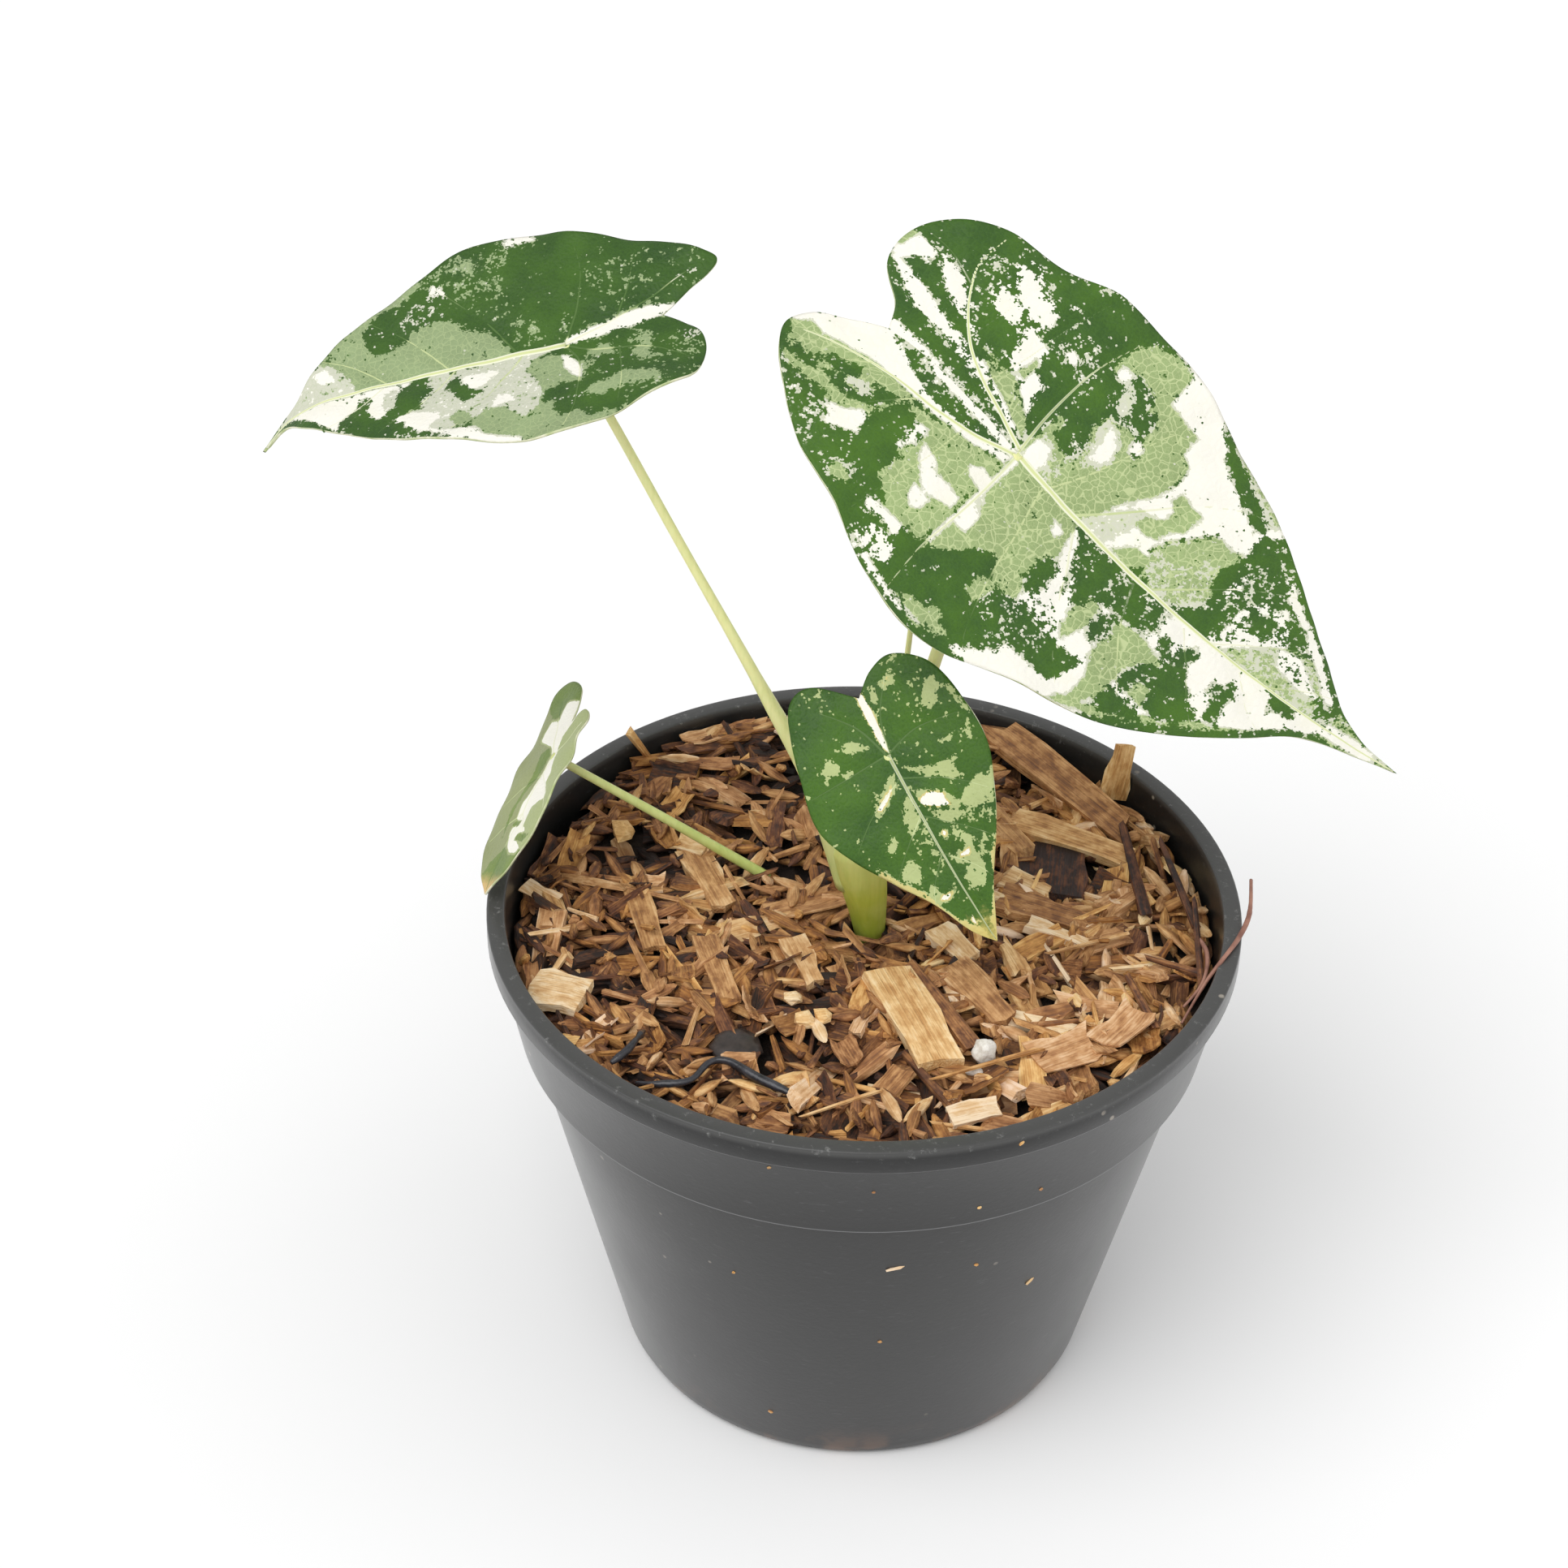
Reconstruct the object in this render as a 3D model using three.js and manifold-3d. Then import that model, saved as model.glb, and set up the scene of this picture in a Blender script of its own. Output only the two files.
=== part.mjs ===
// A small variegated alocasia frydek in a black 15 cm nursery pot.
// Millimetres, +Z up. The origin is the middle of the pot's base, so the pot stands on z = 0.
import * as THREE from 'three';
import Module from 'manifold-3d';
import { mergeVertices } from 'three/addons/utils/BufferGeometryUtils.js';

// ---------------------------------------------------------------- driving dimensions

const GAP = 0.3; // clearance between touching pieces
const SEED = 17; // start of the random draw that scatters the chips

const POT = {
  height: 107,
  lipRadius: 75, // outside of the lip
  lipWidth: 3.6, // flat top of the lip, seen from above
  lipDrop: 5.5, // height of the lip's outside face
  collarTop: 73.4, // outside of the collar, just under the lip
  collarFoot: 69.6, // outside of the collar at the step
  stepHeight: 81.5, // the step under the collar
  bodyTop: 67.3, // outside of the body, just under the step
  baseRadius: 49.5,
  baseRound: 3.5, // rounding where the wall turns into the base
  edge: 0.7, // rounding of the lip's edges
  wall: 1.3,
  floor: 2,
  sides: 60,
  holes: 8, // drainage holes round the edge of the base
  holeRadius: 4,
  holeRing: 38,
  holeSides: 12,
};

const MIX = {
  level: 98, // mean height of the surface, 9 mm under the lip
  mound: 1, // how far the middle stands above the edge
  bank: { height: 4.5, at: [-28, 64], reach: 36 }, // it is banked up against the back wall
  rings: 7,
  husks: 92, // rice husks
  huskSize: [8.5, 3, 2.2],
  chips: 44, // small wood chips
  chipSize: [11, 4.2, 2.4],
};

// The bundle of leaf sheaths, from its foot in the mix to where the stalks part.
const STEM = {
  route: [[0.6, -0.7, 74], [0.6, -0.7, 90], [0.5, -0.7, 98], [0, -0.8, 106], [-0.7, -1, 113.4],
    [-1.6, -1.2, 119.5], [-3, -1, 127]],
  radii: [1.2, 1.9, 2.3, 2.5, 2.6, 3.2, 4.2, 4.7, 5.3, 5.5, 3.4],
  lap: 0.05, // depth of the grooves where one sheath laps the next, as a share of the radius
  laps: 3,
  sides: 16,
  steps: 20,
};

const STALK_SIDES = 8;

// Each leaf is drawn flat, in its own frame: along runs from the stalk to the tip,
// across runs sideways, and the stalk joins at along = 0, across = 0.
// right and left are the two margins, from the tip round the lobe to the notch,
// with across counted outwards from the midrib.
const LEAVES = {
  large: {
    attach: [25.8, 12, 203.8],
    azimuth: -26.9, elevation: -42.2, roll: 25.5,
    length: 95, bend: 0.31, fold: 0.057, sweep: 0.27, droop: 0,
    right: [[98, 0], [86, 2], [77, 5], [68, 13], [58, 21], [46, 28], [30, 33], [18, 38.5], [8, 41],
      [-4, 39], [-15, 35], [-28, 30], [-40, 21], [-46, 12.5], [-44.5, 6.5], [-38.5, 3], [-33, 0]],
    left: [[98, 0], [88, 2], [80, 5.5], [71, 12.5], [58, 21], [44, 28], [29, 34], [16, 37.5], [4, 38.5],
      [-8, 37], [-19, 33], [-31, 31], [-40, 26], [-44, 19], [-42.5, 11], [-36, 5], [-33, 0]],
    wave: 0.9, waves: 5, stationRow: 13, panel: 0.8, rib: 0.5, midrib: 1.5,
    columns: [0, 0.06, 0.25, 0.5, 0.76, 1],
  },
  left: {
    attach: [-58, 15, 222.2],
    azimuth: 185.2, elevation: -13, roll: -14.3,
    length: 60, bend: 0.17, fold: 0.18, sweep: -0.06, droop: 0.82,
    right: [[62, 0], [54, 2], [48, 7.5], [41, 13.5], [31, 20], [19, 25.5], [7, 27.5], [-6, 24.5],
      [-18, 20.3], [-27, 16.3], [-29.8, 13.3], [-24, 8], [-18.5, 3.5]],
    left: [[62, 0], [55.5, 1], [50, 5.5], [42, 11], [30, 17.3], [17, 23], [5, 26.7], [-6, 24.2],
      [-15, 19.5], [-22.5, 15.5], [-25.7, 8.5], [-24.5, 2], [-18.5, -3.5]],
    wave: 0.7, waves: 4, stationRow: 10, panel: 0.6, rib: 0.4, midrib: 1.2,
    columns: [0, 0.08, 0.35, 0.68, 1],
  },
  front: {
    attach: [3.7, -15, 153.4],
    azimuth: -48.9, elevation: -42.6, roll: 41.4,
    length: 43, bend: 0.25, fold: 0.053, sweep: 0.04, droop: 0,
    right: [[40.5, 0], [36.5, 3], [29, 6.2], [22, 11], [15, 15.3], [6, 18.6], [-3, 17], [-11, 15.2],
      [-17, 12], [-18, 7], [-12, 0]],
    left: [[40.5, 0], [36.5, 2.2], [29.5, 6], [22, 11], [15.5, 14.5], [6, 18], [-4, 17.5], [-12, 15.2],
      [-16.7, 9.5], [-15.7, 4.5], [-12, 0]],
    wave: 0.5, waves: 4, stationRow: 8, panel: 0.4, rib: 0.35, midrib: 0.9,
    columns: [0, 0.1, 0.38, 0.7, 1],
  },
  small: {
    attach: [-63.1, 17, 127.5],
    azimuth: 238.7, elevation: -33.9, roll: 39.5,
    length: 31, bend: 0.1, fold: 0.06, sweep: 0, droop: 0,
    right: [[31, 0], [27, 4.5], [21, 8.5], [14, 11], [6, 11.7], [-2, 11.7], [-9, 13], [-14, 13.8],
      [-17.8, 11], [-16, 5.5], [-8, 0]],
    left: [[31, 0], [27, 5], [21, 8.5], [14, 10.5], [6, 10.5], [-1, 9.3], [-6, 7.5], [-9.5, 5.8],
      [-11, 3.8], [-10.5, 1.8], [-8, 0]],
    wave: 0.4, waves: 3, stationRow: 8, panel: 0.3, rib: 0.3, midrib: 0.7,
    columns: [0, 0.12, 0.5, 1],
  },
};
const ROWS_PER_POINT = 2; // rows of the blade between two points of its outline
const VEIN_EVERY = 4; // a side vein runs along every fourth row
const BLADE_THICK = { middle: 0.9, margin: 0.65 };
const VEIN_BOW = 0.06; // how far a side vein bows towards the tip, as a share of its reach

// Centre lines and radii of the leaf stalks, from the stem up to the blade.
const STALKS = {
  large: {
    route: [[0.6, 0, 112], [3, 0.8, 122], [12.5, 6, 162.5], [22.6, 10.6, 194], [26.2, 12.4, 205.5]],
    radii: [2.4, 1.8, 1.3, 1.15, 1.1], steps: 16,
  },
  left: {
    route: [[-2.6, -1, 112], [-5.6, -0.8, 122], [-10.3, 1, 135.2], [-17.2, 3, 147.7], [-20.1, 4, 153],
      [-25.4, 5.5, 163], [-36.7, 8.6, 184], [-50.1, 12.4, 209.3], [-58.4, 15.1, 223.4]],
    radii: [3.2, 2.9, 2.4, 1.6, 1.15, 1, 0.92, 0.9, 0.88, 0.86, 0.85], steps: 24,
  },
  front: {
    route: [[-0.2, -2.4, 113], [1.2, -4.4, 122], [2.6, -9, 138], [3.8, -15.4, 154.4]],
    radii: [2, 1.5, 1.1, 0.9], steps: 12,
  },
  small: {
    route: [[0.4, 15.2, 86.5], [-17, 15.6, 98], [-40, 16.3, 113], [-63.9, 17, 128.3]],
    radii: [1.15, 1.1, 0.95, 0.8], steps: 10,
  },
};

// A rolled new leaf, still thin, behind the large stalk.
const NEW_LEAF = {
  route: [[0.2, 1.2, 114], [2.8, 2.4, 126], [5.4, 3, 146], [7.1, 4, 168], [7.9, 6.4, 185]],
  radii: [1, 0.8, 0.6, 0.55, 0.3], steps: 14,
};

const COLOURS = {
  pot: { color: 0x37393b, roughness: 0.62, metalness: 0 },
  mix: { color: 0x8a6a48, roughness: 0.92, metalness: 0 },
  stem: { color: 0x8ea65c, roughness: 0.5, metalness: 0 },
  stalk: { color: 0xb4c488, roughness: 0.5, metalness: 0 },
  blade: { color: 0x5d8247, roughness: 0.55, metalness: 0 },
  newLeaf: { color: 0xa9bd80, roughness: 0.5, metalness: 0 },
};

// Pieces that stand out in the mix: middle, length x width x thickness, turn, tilt and spin in degrees.
const LARGE_CHIPS = [
  { shape: 'wedge', at: [10.3, -30.5, 99.9], size: [26, 9.5, 3], turn: -68, tilt: 4, spin: 0 },
  { shape: 'wedge', at: [17, -24, 99.4], size: [24, 8, 3], turn: -63, tilt: 3, spin: 14 },
  { shape: 'wedge', at: [23, -18.5, 99.8], size: [15, 9, 2.5], turn: -55, tilt: 10, spin: 18 },
  { shape: 'wedge', at: [-58.3, -21.3, 99], size: [13, 9, 2.2], turn: -20, tilt: 5, spin: -8 },
  { shape: 'wedge', at: [55, 38, 104.5], size: [20, 6.5, 1.7], turn: 60, tilt: 66, spin: 30 },
  { shape: 'wedge', at: [39, 47, 101.4], size: [36, 7, 2.4], turn: -52, tilt: -8, spin: 16 },
  { shape: 'wedge', at: [43.5, 31, 99.4], size: [24, 6.5, 2.4], turn: -29, tilt: -3, spin: 8 },
  { shape: 'wedge', at: [32.6, 18, 98.9], size: [11, 10, 1.6], turn: 44, tilt: 6, spin: -6 },
  { shape: 'wedge', at: [41, 1, 99], size: [17, 4.4, 2], turn: 7, tilt: 3, spin: 0 },
  { shape: 'wedge', at: [17.9, -3.5, 99.3], size: [10, 5.5, 1.8], turn: 57, tilt: 10, spin: 6 },
  { shape: 'wedge', at: [-55, 48, 103], size: [12, 3.2, 1.6], turn: 100, tilt: 66, spin: 20 },
  { shape: 'wedge', at: [36.4, -31.6, 99.7], size: [13, 8, 1.3], turn: 19, tilt: 6, spin: 8 },
  { shape: 'wedge', at: [51, -24.5, 100.3], size: [10, 7, 1.3], turn: 30, tilt: 12, spin: -10 },
  { shape: 'wedge', at: [21.8, -56.3, 99.5], size: [8, 4.2, 1.6], turn: 22, tilt: 4, spin: 6 },
  { shape: 'wedge', at: [55.6, 13.6, 100.4], size: [20, 2.2, 1.8], turn: -88, tilt: 2, spin: 0 },
  { shape: 'lump', at: [-6.6, -29.5, 99.7], size: [6, 5.4, 4.4], turn: 40, tilt: 10, spin: 10 },
  { shape: 'lump', at: [23.3, -38.5, 99.8], size: [5, 4.8, 4.4], turn: 15, tilt: 20, spin: 5 },
  { shape: 'lump', at: [-50.6, 26.4, 99.4], size: [6, 5.6, 5], turn: 0, tilt: 0, spin: 0 },
  { shape: 'lump', at: [-23.1, -33, 98.4], size: [9, 8, 5], turn: 0, tilt: 0, spin: 0 },
];

// ---------------------------------------------------------------- helpers

const wasm = await Module();
wasm.setup();

const radians = THREE.MathUtils.degToRad;
const vector = (list) => new THREE.Vector3(...list);

// A seeded draw between two numbers (a small linear congruential generator).
let drawState = SEED;
function draw(low, high) {
  const multiplier = 1664525;
  const increment = 1013904223;
  const modulus = 2 ** 32;
  drawState = (drawState * multiplier + increment) % modulus;
  return low + (high - low) * (drawState / modulus);
}

// A closed geometry as a manifold-3d solid.
function solid(geometry) {
  geometry.deleteAttribute('normal');
  geometry.deleteAttribute('uv');
  const merged = mergeVertices(geometry, 1e-4);
  return new wasm.Manifold(new wasm.Mesh({
    numProp: 3,
    vertProperties: merged.attributes.position.array,
    triVerts: new Uint32Array(merged.index.array),
  }));
}

// The largest body of a solid, without sealed hollows or loose scraps.
function largestBody(body) {
  const pieces = body.decompose();
  return pieces.reduce((best, piece) => (piece.volume() > best.volume() ? piece : best));
}

// A named mesh from a solid.
function meshFrom(body, name, finish) {
  const result = largestBody(body).getMesh();
  const geometry = new THREE.BufferGeometry();
  geometry.setAttribute('position', new THREE.BufferAttribute(new Float32Array(result.vertProperties), 3));
  geometry.setIndex([...result.triVerts]);
  geometry.computeVertexNormals();
  const mesh = new THREE.Mesh(geometry, new THREE.MeshStandardMaterial(finish));
  mesh.name = name;
  return mesh;
}

// Moves every vertex of a geometry by a function of its place.
function reshape(geometry, move) {
  const position = geometry.attributes.position;
  const point = new THREE.Vector3();
  for (let i = 0; i < position.count; i += 1) {
    point.fromBufferAttribute(position, i);
    move(point);
    position.setXYZ(i, point.x, point.y, point.z);
  }
  return geometry;
}

// A body turned round the Z axis from a list of radius and height.
function lathe(points, sides) {
  const profile = points.map(([radius, z]) => new THREE.Vector2(radius, z));
  return new THREE.LatheGeometry(profile, sides).rotateX(Math.PI / 2);
}

// A value that runs smoothly through the listed ones, for t from 0 to 1.
function blend(values, t) {
  const place = t * (values.length - 1);
  const index = Math.min(Math.floor(place), values.length - 2);
  return THREE.MathUtils.lerp(values[index], values[index + 1], place - index);
}

// ---------------------------------------------------------------- pot

function potSolid() {
  const p = POT;
  const lipInner = p.lipRadius - p.lipWidth;
  const lipFoot = p.height - p.lipDrop;
  const outside = [
    [0, 0], [p.baseRadius - p.baseRound, 0],
    [p.baseRadius - p.baseRound * 0.3, p.baseRound * 0.3], [p.baseRadius, p.baseRound],
    [p.bodyTop, p.stepHeight], [p.collarFoot, p.stepHeight + p.edge],
    [p.collarTop, lipFoot], [p.lipRadius - p.edge / 2, lipFoot],
    [p.lipRadius, lipFoot + p.edge], [p.lipRadius, p.height - p.edge],
    [p.lipRadius - p.edge, p.height],
  ];
  const inside = [
    [lipInner + p.edge, p.height], [lipInner, p.height - p.edge],
    [p.collarFoot - p.wall, p.stepHeight + p.wall], [p.bodyTop - p.wall, p.stepHeight - p.wall],
    [p.baseRadius - p.wall, p.baseRound], [p.baseRadius - p.baseRound - p.edge, p.floor],
    [0, p.floor],
  ];
  let body = solid(lathe([...outside, ...inside], p.sides));
  for (let i = 0; i < p.holes; i += 1) {
    const angle = (i + 0.5) * 2 * Math.PI / p.holes;
    const drill = new THREE.CylinderGeometry(p.holeRadius, p.holeRadius, p.floor * 4, p.holeSides)
      .rotateX(Math.PI / 2)
      .translate(Math.cos(angle) * p.holeRing, Math.sin(angle) * p.holeRing, 0);
    body = body.subtract(solid(drill));
  }
  return body;
}

// ---------------------------------------------------------------- growing mix

// Height of the mix's surface above its mean level.
function mixRelief(x, y) {
  const reach = Math.hypot(x, y) / POT.collarTop;
  const { height, at, reach: spread } = MIX.bank;
  const bank = height * Math.exp(-((x - at[0]) ** 2 + (y - at[1]) ** 2) / spread ** 2);
  const lumps = 0.5 * Math.sin(x * 0.31 + 1) * Math.cos(y * 0.27)
    + 0.35 * Math.sin(x * 0.13 - y * 0.19 + 2);
  return MIX.mound * (1 - reach * reach) + bank + lumps;
}

// The inside of the pot from the middle of its floor up to the lip, with clearance to the wall.
function roomProfile() {
  const side = (radius) => radius - POT.wall - GAP;
  const floorEdge = POT.baseRadius - POT.baseRound - 2;
  const footHeight = POT.baseRound + 2;
  const rise = (footHeight - POT.baseRound) / (POT.stepHeight - POT.baseRound);
  return [
    [0, POT.floor + GAP], [floorEdge, POT.floor + GAP],
    [THREE.MathUtils.lerp(side(POT.baseRadius), side(POT.bodyTop), rise), footHeight],
    [side(POT.bodyTop), POT.stepHeight - 1], [side(POT.collarFoot), POT.stepHeight + 2],
    [POT.lipRadius - POT.lipWidth - GAP, POT.height - 1],
  ];
}

function mixPlug() {
  const side = roomProfile();
  const [lipIn] = side.at(-1);
  const [collarIn, collarHeight] = side.at(-2);
  const share = (MIX.level - collarHeight) / (POT.height - 1 - collarHeight);
  const edge = THREE.MathUtils.lerp(collarIn, lipIn, share);
  const top = [];
  for (let ring = MIX.rings; ring >= 0; ring -= 1) top.push([edge * ring / MIX.rings, MIX.level]);
  const plug = lathe([...side.slice(0, -1), ...top], POT.sides);
  reshape(plug, (point) => {
    if (point.z > MIX.level - 0.01) point.z += mixRelief(point.x, point.y);
  });
  return solid(plug).intersect(potRoom());
}

// One chip, turned about Z, tilted about its width and spun about its length.
function chipSolid(shape, at, size, turn, tilt, spin) {
  const chip = shape.clone().scale(...size);
  chip.rotateX(radians(spin)).rotateY(radians(-tilt)).rotateZ(radians(turn));
  return solid(chip.translate(...at));
}

// A place in the mix for a small piece, inside the pot wall.
function scatterPlace(count, index, rim) {
  const golden = Math.PI * (3 - Math.sqrt(5));
  const radius = rim * Math.sqrt((index + 0.5) / count);
  const angle = index * golden + draw(-0.3, 0.3);
  return [radius * Math.cos(angle), radius * Math.sin(angle)];
}

// Small pieces lie flat near the wall, so that none pokes through it.
function scatter(shape, count, size, lift) {
  const rim = POT.collarFoot - POT.wall - size[0] / 2 - 1;
  const pieces = [];
  for (let i = 0; i < count; i += 1) {
    const [x, y] = scatterPlace(count, i, rim);
    const grow = draw(0.75, 1.2);
    const at = [x, y, MIX.level + mixRelief(x, y) + lift * draw(0.6, 1.2)];
    const scaled = size.map((side) => side * grow);
    pieces.push(chipSolid(shape, at, scaled, draw(0, 360), draw(-16, 16), draw(-30, 30)));
  }
  return pieces;
}

// A chip with one end narrower than the other.
function wedgeShape() {
  const chip = new THREE.BoxGeometry(1, 1, 1);
  return reshape(chip, (point) => {
    point.y *= point.x > 0 ? 0.6 : 1;
  });
}

// The space that the mix can fill, up past the rim.
function potRoom() {
  const side = roomProfile();
  const above = POT.height + 20;
  return solid(lathe([...side, [side.at(-1)[0], above], [0, above]], POT.sides));
}

function mixSolid(stemHoles) {
  const shapes = {
    husk: new THREE.OctahedronGeometry(0.5),
    wedge: wedgeShape(),
    lump: new THREE.IcosahedronGeometry(0.5, 0),
  };
  const pieces = [
    mixPlug(),
    ...scatter(shapes.husk, MIX.husks, MIX.huskSize, 0.5),
    ...scatter(shapes.wedge, MIX.chips, MIX.chipSize, 0.3),
    ...LARGE_CHIPS.map(({ shape, at, size, turn, tilt, spin }) => (
      chipSolid(shapes[shape], at, size, turn, tilt, spin)
    )),
  ];
  const fused = wasm.Manifold.union(pieces).intersect(potRoom());
  return stemHoles.reduce((body, hole) => body.subtract(hole), fused);
}

// ---------------------------------------------------------------- stem and stalks

// A closed tube along a curve, with a radius for each share of its length.
function tube(curve, radiusAt, sides, steps, flat = 1) {
  const barrel = new THREE.CylinderGeometry(1, 1, 1, sides, steps);
  const frames = curve.computeFrenetFrames(steps, false);
  return reshape(barrel, (point) => {
    const step = Math.round((point.y + 0.5) * steps);
    const share = step / steps;
    const centre = curve.getPointAt(share);
    const angle = Math.atan2(point.z, point.x);
    const reach = Math.hypot(point.x, point.z) * radiusAt(share, angle);
    point.copy(centre)
      .addScaledVector(frames.normals[step], reach * Math.cos(angle))
      .addScaledVector(frames.binormals[step], -reach * Math.sin(angle) * flat);
  });
}

function stalkSolid(stalk, extra = 0) {
  const curve = new THREE.CatmullRomCurve3(stalk.route.map(vector));
  const radiusAt = (share) => blend(stalk.radii, share) + extra;
  return solid(tube(curve, radiusAt, STALK_SIDES, stalk.steps));
}

function stemSolid(extra = 0) {
  const curve = new THREE.CatmullRomCurve3(STEM.route.map(vector));
  const radiusAt = (share, angle) => (
    blend(STEM.radii, share) * (1 + STEM.lap * Math.cos(STEM.laps * angle + share * 2)) + extra
  );
  return solid(tube(curve, radiusAt, STEM.sides, STEM.steps));
}

// ---------------------------------------------------------------- blades

// Turns a place in the leaf's flat drawing, and a height above it, into a place in space.
function bladeMap(leaf) {
  const azimuth = radians(leaf.azimuth);
  const elevation = radians(leaf.elevation);
  const roll = radians(leaf.roll);
  const along = new THREE.Vector3(
    Math.cos(elevation) * Math.cos(azimuth),
    Math.cos(elevation) * Math.sin(azimuth),
    Math.sin(elevation),
  );
  const level = new THREE.Vector3(0, 0, 1).cross(along).normalize();
  const up = along.clone().cross(level);
  const across = level.clone().multiplyScalar(Math.cos(roll)).addScaledVector(up, Math.sin(roll));
  const face = up.multiplyScalar(Math.cos(roll)).addScaledVector(level, -Math.sin(roll));
  const attach = vector(leaf.attach);
  const droopFrom = 0.75;
  return (u, v, height) => {
    const t = u / leaf.length;
    const late = Math.max(t - droopFrom, 0);
    const sag = -leaf.bend / 2 * t * t - 2 * leaf.droop * late * late;
    const slope = -leaf.bend * t - 4 * leaf.droop * late;
    const lift = height + leaf.fold * Math.abs(v);
    const tilt = Math.hypot(1, slope);
    return attach.clone()
      .addScaledVector(along, u - lift * slope / tilt)
      .addScaledVector(across, v + leaf.sweep * leaf.length * t * Math.abs(t))
      .addScaledVector(face, sag * leaf.length + lift / tilt);
  };
}

// A blade as a closed sheet. Its rows follow the side veins from the midrib to the margin.
function bladeSolid(leaf, extra = 0) {
  const map = bladeMap(leaf);
  const { columns, stationRow } = leaf;
  const rows = (leaf.right.length - 1) * ROWS_PER_POINT;
  const tip = leaf.right[0][0];
  const margins = [leaf.right, leaf.left].map((points) => {
    const curve = new THREE.SplineCurve(points.map(([x, y]) => new THREE.Vector2(x, y)));
    return curve.getPoints(rows);
  });
  const places = [];
  const known = new Map();

  // The two vertices, over and under, of one grid point.
  function vertexAt(side, row, column) {
    const share = columns[column];
    const hand = side === 0 ? -1 : 1;
    const edge = margins[side][row];
    const station = tip * Math.max(0, 1 - row / stationRow);
    const bow = VEIN_BOW * 4 * share * (1 - share) * edge.y * (1 - row / rows);
    const u = THREE.MathUtils.lerp(station, edge.x, share) + bow;
    const v = hand * edge.y * share;
    const key = `${u.toFixed(3)} ${v.toFixed(3)}`;
    if (!known.has(key)) {
      const beside = Math.sin(Math.PI * (row % VEIN_EVERY) / VEIN_EVERY);
      const between = leaf.panel * beside * Math.sin(Math.PI * share);
      const nearTip = Math.min(1, row / stationRow);
      const wave = leaf.wave * share ** 3 * Math.sin(2 * Math.PI * leaf.waves * row / rows + side * 2);
      const over = between * nearTip + wave;
      const thick = THREE.MathUtils.lerp(BLADE_THICK.middle, BLADE_THICK.margin, share);
      const rib = row % VEIN_EVERY === 0 ? leaf.rib * (1 - share) : 0;
      const keel = share === 0 ? leaf.midrib * nearTip : 0;
      known.set(key, places.length);
      places.push(map(u, v, over + extra), map(u, v, over - thick - Math.max(rib, keel) - extra));
    }
    return known.get(key);
  }

  const triangles = [];
  function addTriangle(a, b, c) {
    if (a !== b && b !== c && a !== c) triangles.push(a, b, c);
  }
  for (const side of [0, 1]) {
    for (let row = 0; row < rows; row += 1) {
      for (let column = 0; column < columns.length - 1; column += 1) {
        const corners = [
          vertexAt(side, row, column), vertexAt(side, row, column + 1),
          vertexAt(side, row + 1, column + 1), vertexAt(side, row + 1, column),
        ];
        const ring = side === 0 ? corners : corners.toReversed();
        const [a, b, c, d] = ring;
        addTriangle(a, c, b);
        addTriangle(a, d, c);
        addTriangle(a + 1, b + 1, c + 1);
        addTriangle(a + 1, c + 1, d + 1);
      }
      const near = vertexAt(side, row, columns.length - 1);
      const far = vertexAt(side, row + 1, columns.length - 1);
      const [from, to] = side === 0 ? [near, far] : [far, near];
      addTriangle(from, to, to + 1);
      addTriangle(from, to + 1, from + 1);
    }
  }
  const geometry = new THREE.BufferGeometry().setFromPoints(places);
  geometry.setIndex(triangles);
  return solid(geometry);
}

// ---------------------------------------------------------------- assembly

const plant = new THREE.Group();
const stemRoom = stemSolid(GAP);
const smallStalkRoom = stalkSolid(STALKS.small, GAP);

plant.add(meshFrom(potSolid(), 'pot', COLOURS.pot));
plant.add(meshFrom(mixSolid([stemRoom, smallStalkRoom]), 'growing_mix', COLOURS.mix));
plant.add(meshFrom(stemSolid(), 'stem_sheath', COLOURS.stem));

// Stalks are cut back from the stem, from the stalks before them and from their own blade.
let taken = stemRoom;
for (const [name, stalk] of Object.entries(STALKS)) {
  const leaf = LEAVES[name];
  plant.add(meshFrom(bladeSolid(leaf), `leaf_blade_${name}`, COLOURS.blade));
  const body = stalkSolid(stalk).subtract(taken).subtract(bladeSolid(leaf, GAP));
  plant.add(meshFrom(body, `leaf_stalk_${name}`, COLOURS.stalk));
  taken = taken.add(stalkSolid(stalk, GAP));
}
plant.add(meshFrom(stalkSolid(NEW_LEAF).subtract(taken), 'new_leaf', COLOURS.newLeaf));

export default plant;
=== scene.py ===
# %% [markdown]
# # A variegated alocasia in its nursery pot
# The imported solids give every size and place. This file builds the looks around them: the pot,
# the loose growing mix, the stem and stalks, and four blades marbled in green, mint and cream.
# Sizes are given in millimetres and turned into metres as they enter a mesh.

# %% Load the frame
import math
import random

import bmesh
import bpy
import numpy as np
from mathutils import Matrix, Vector


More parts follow.
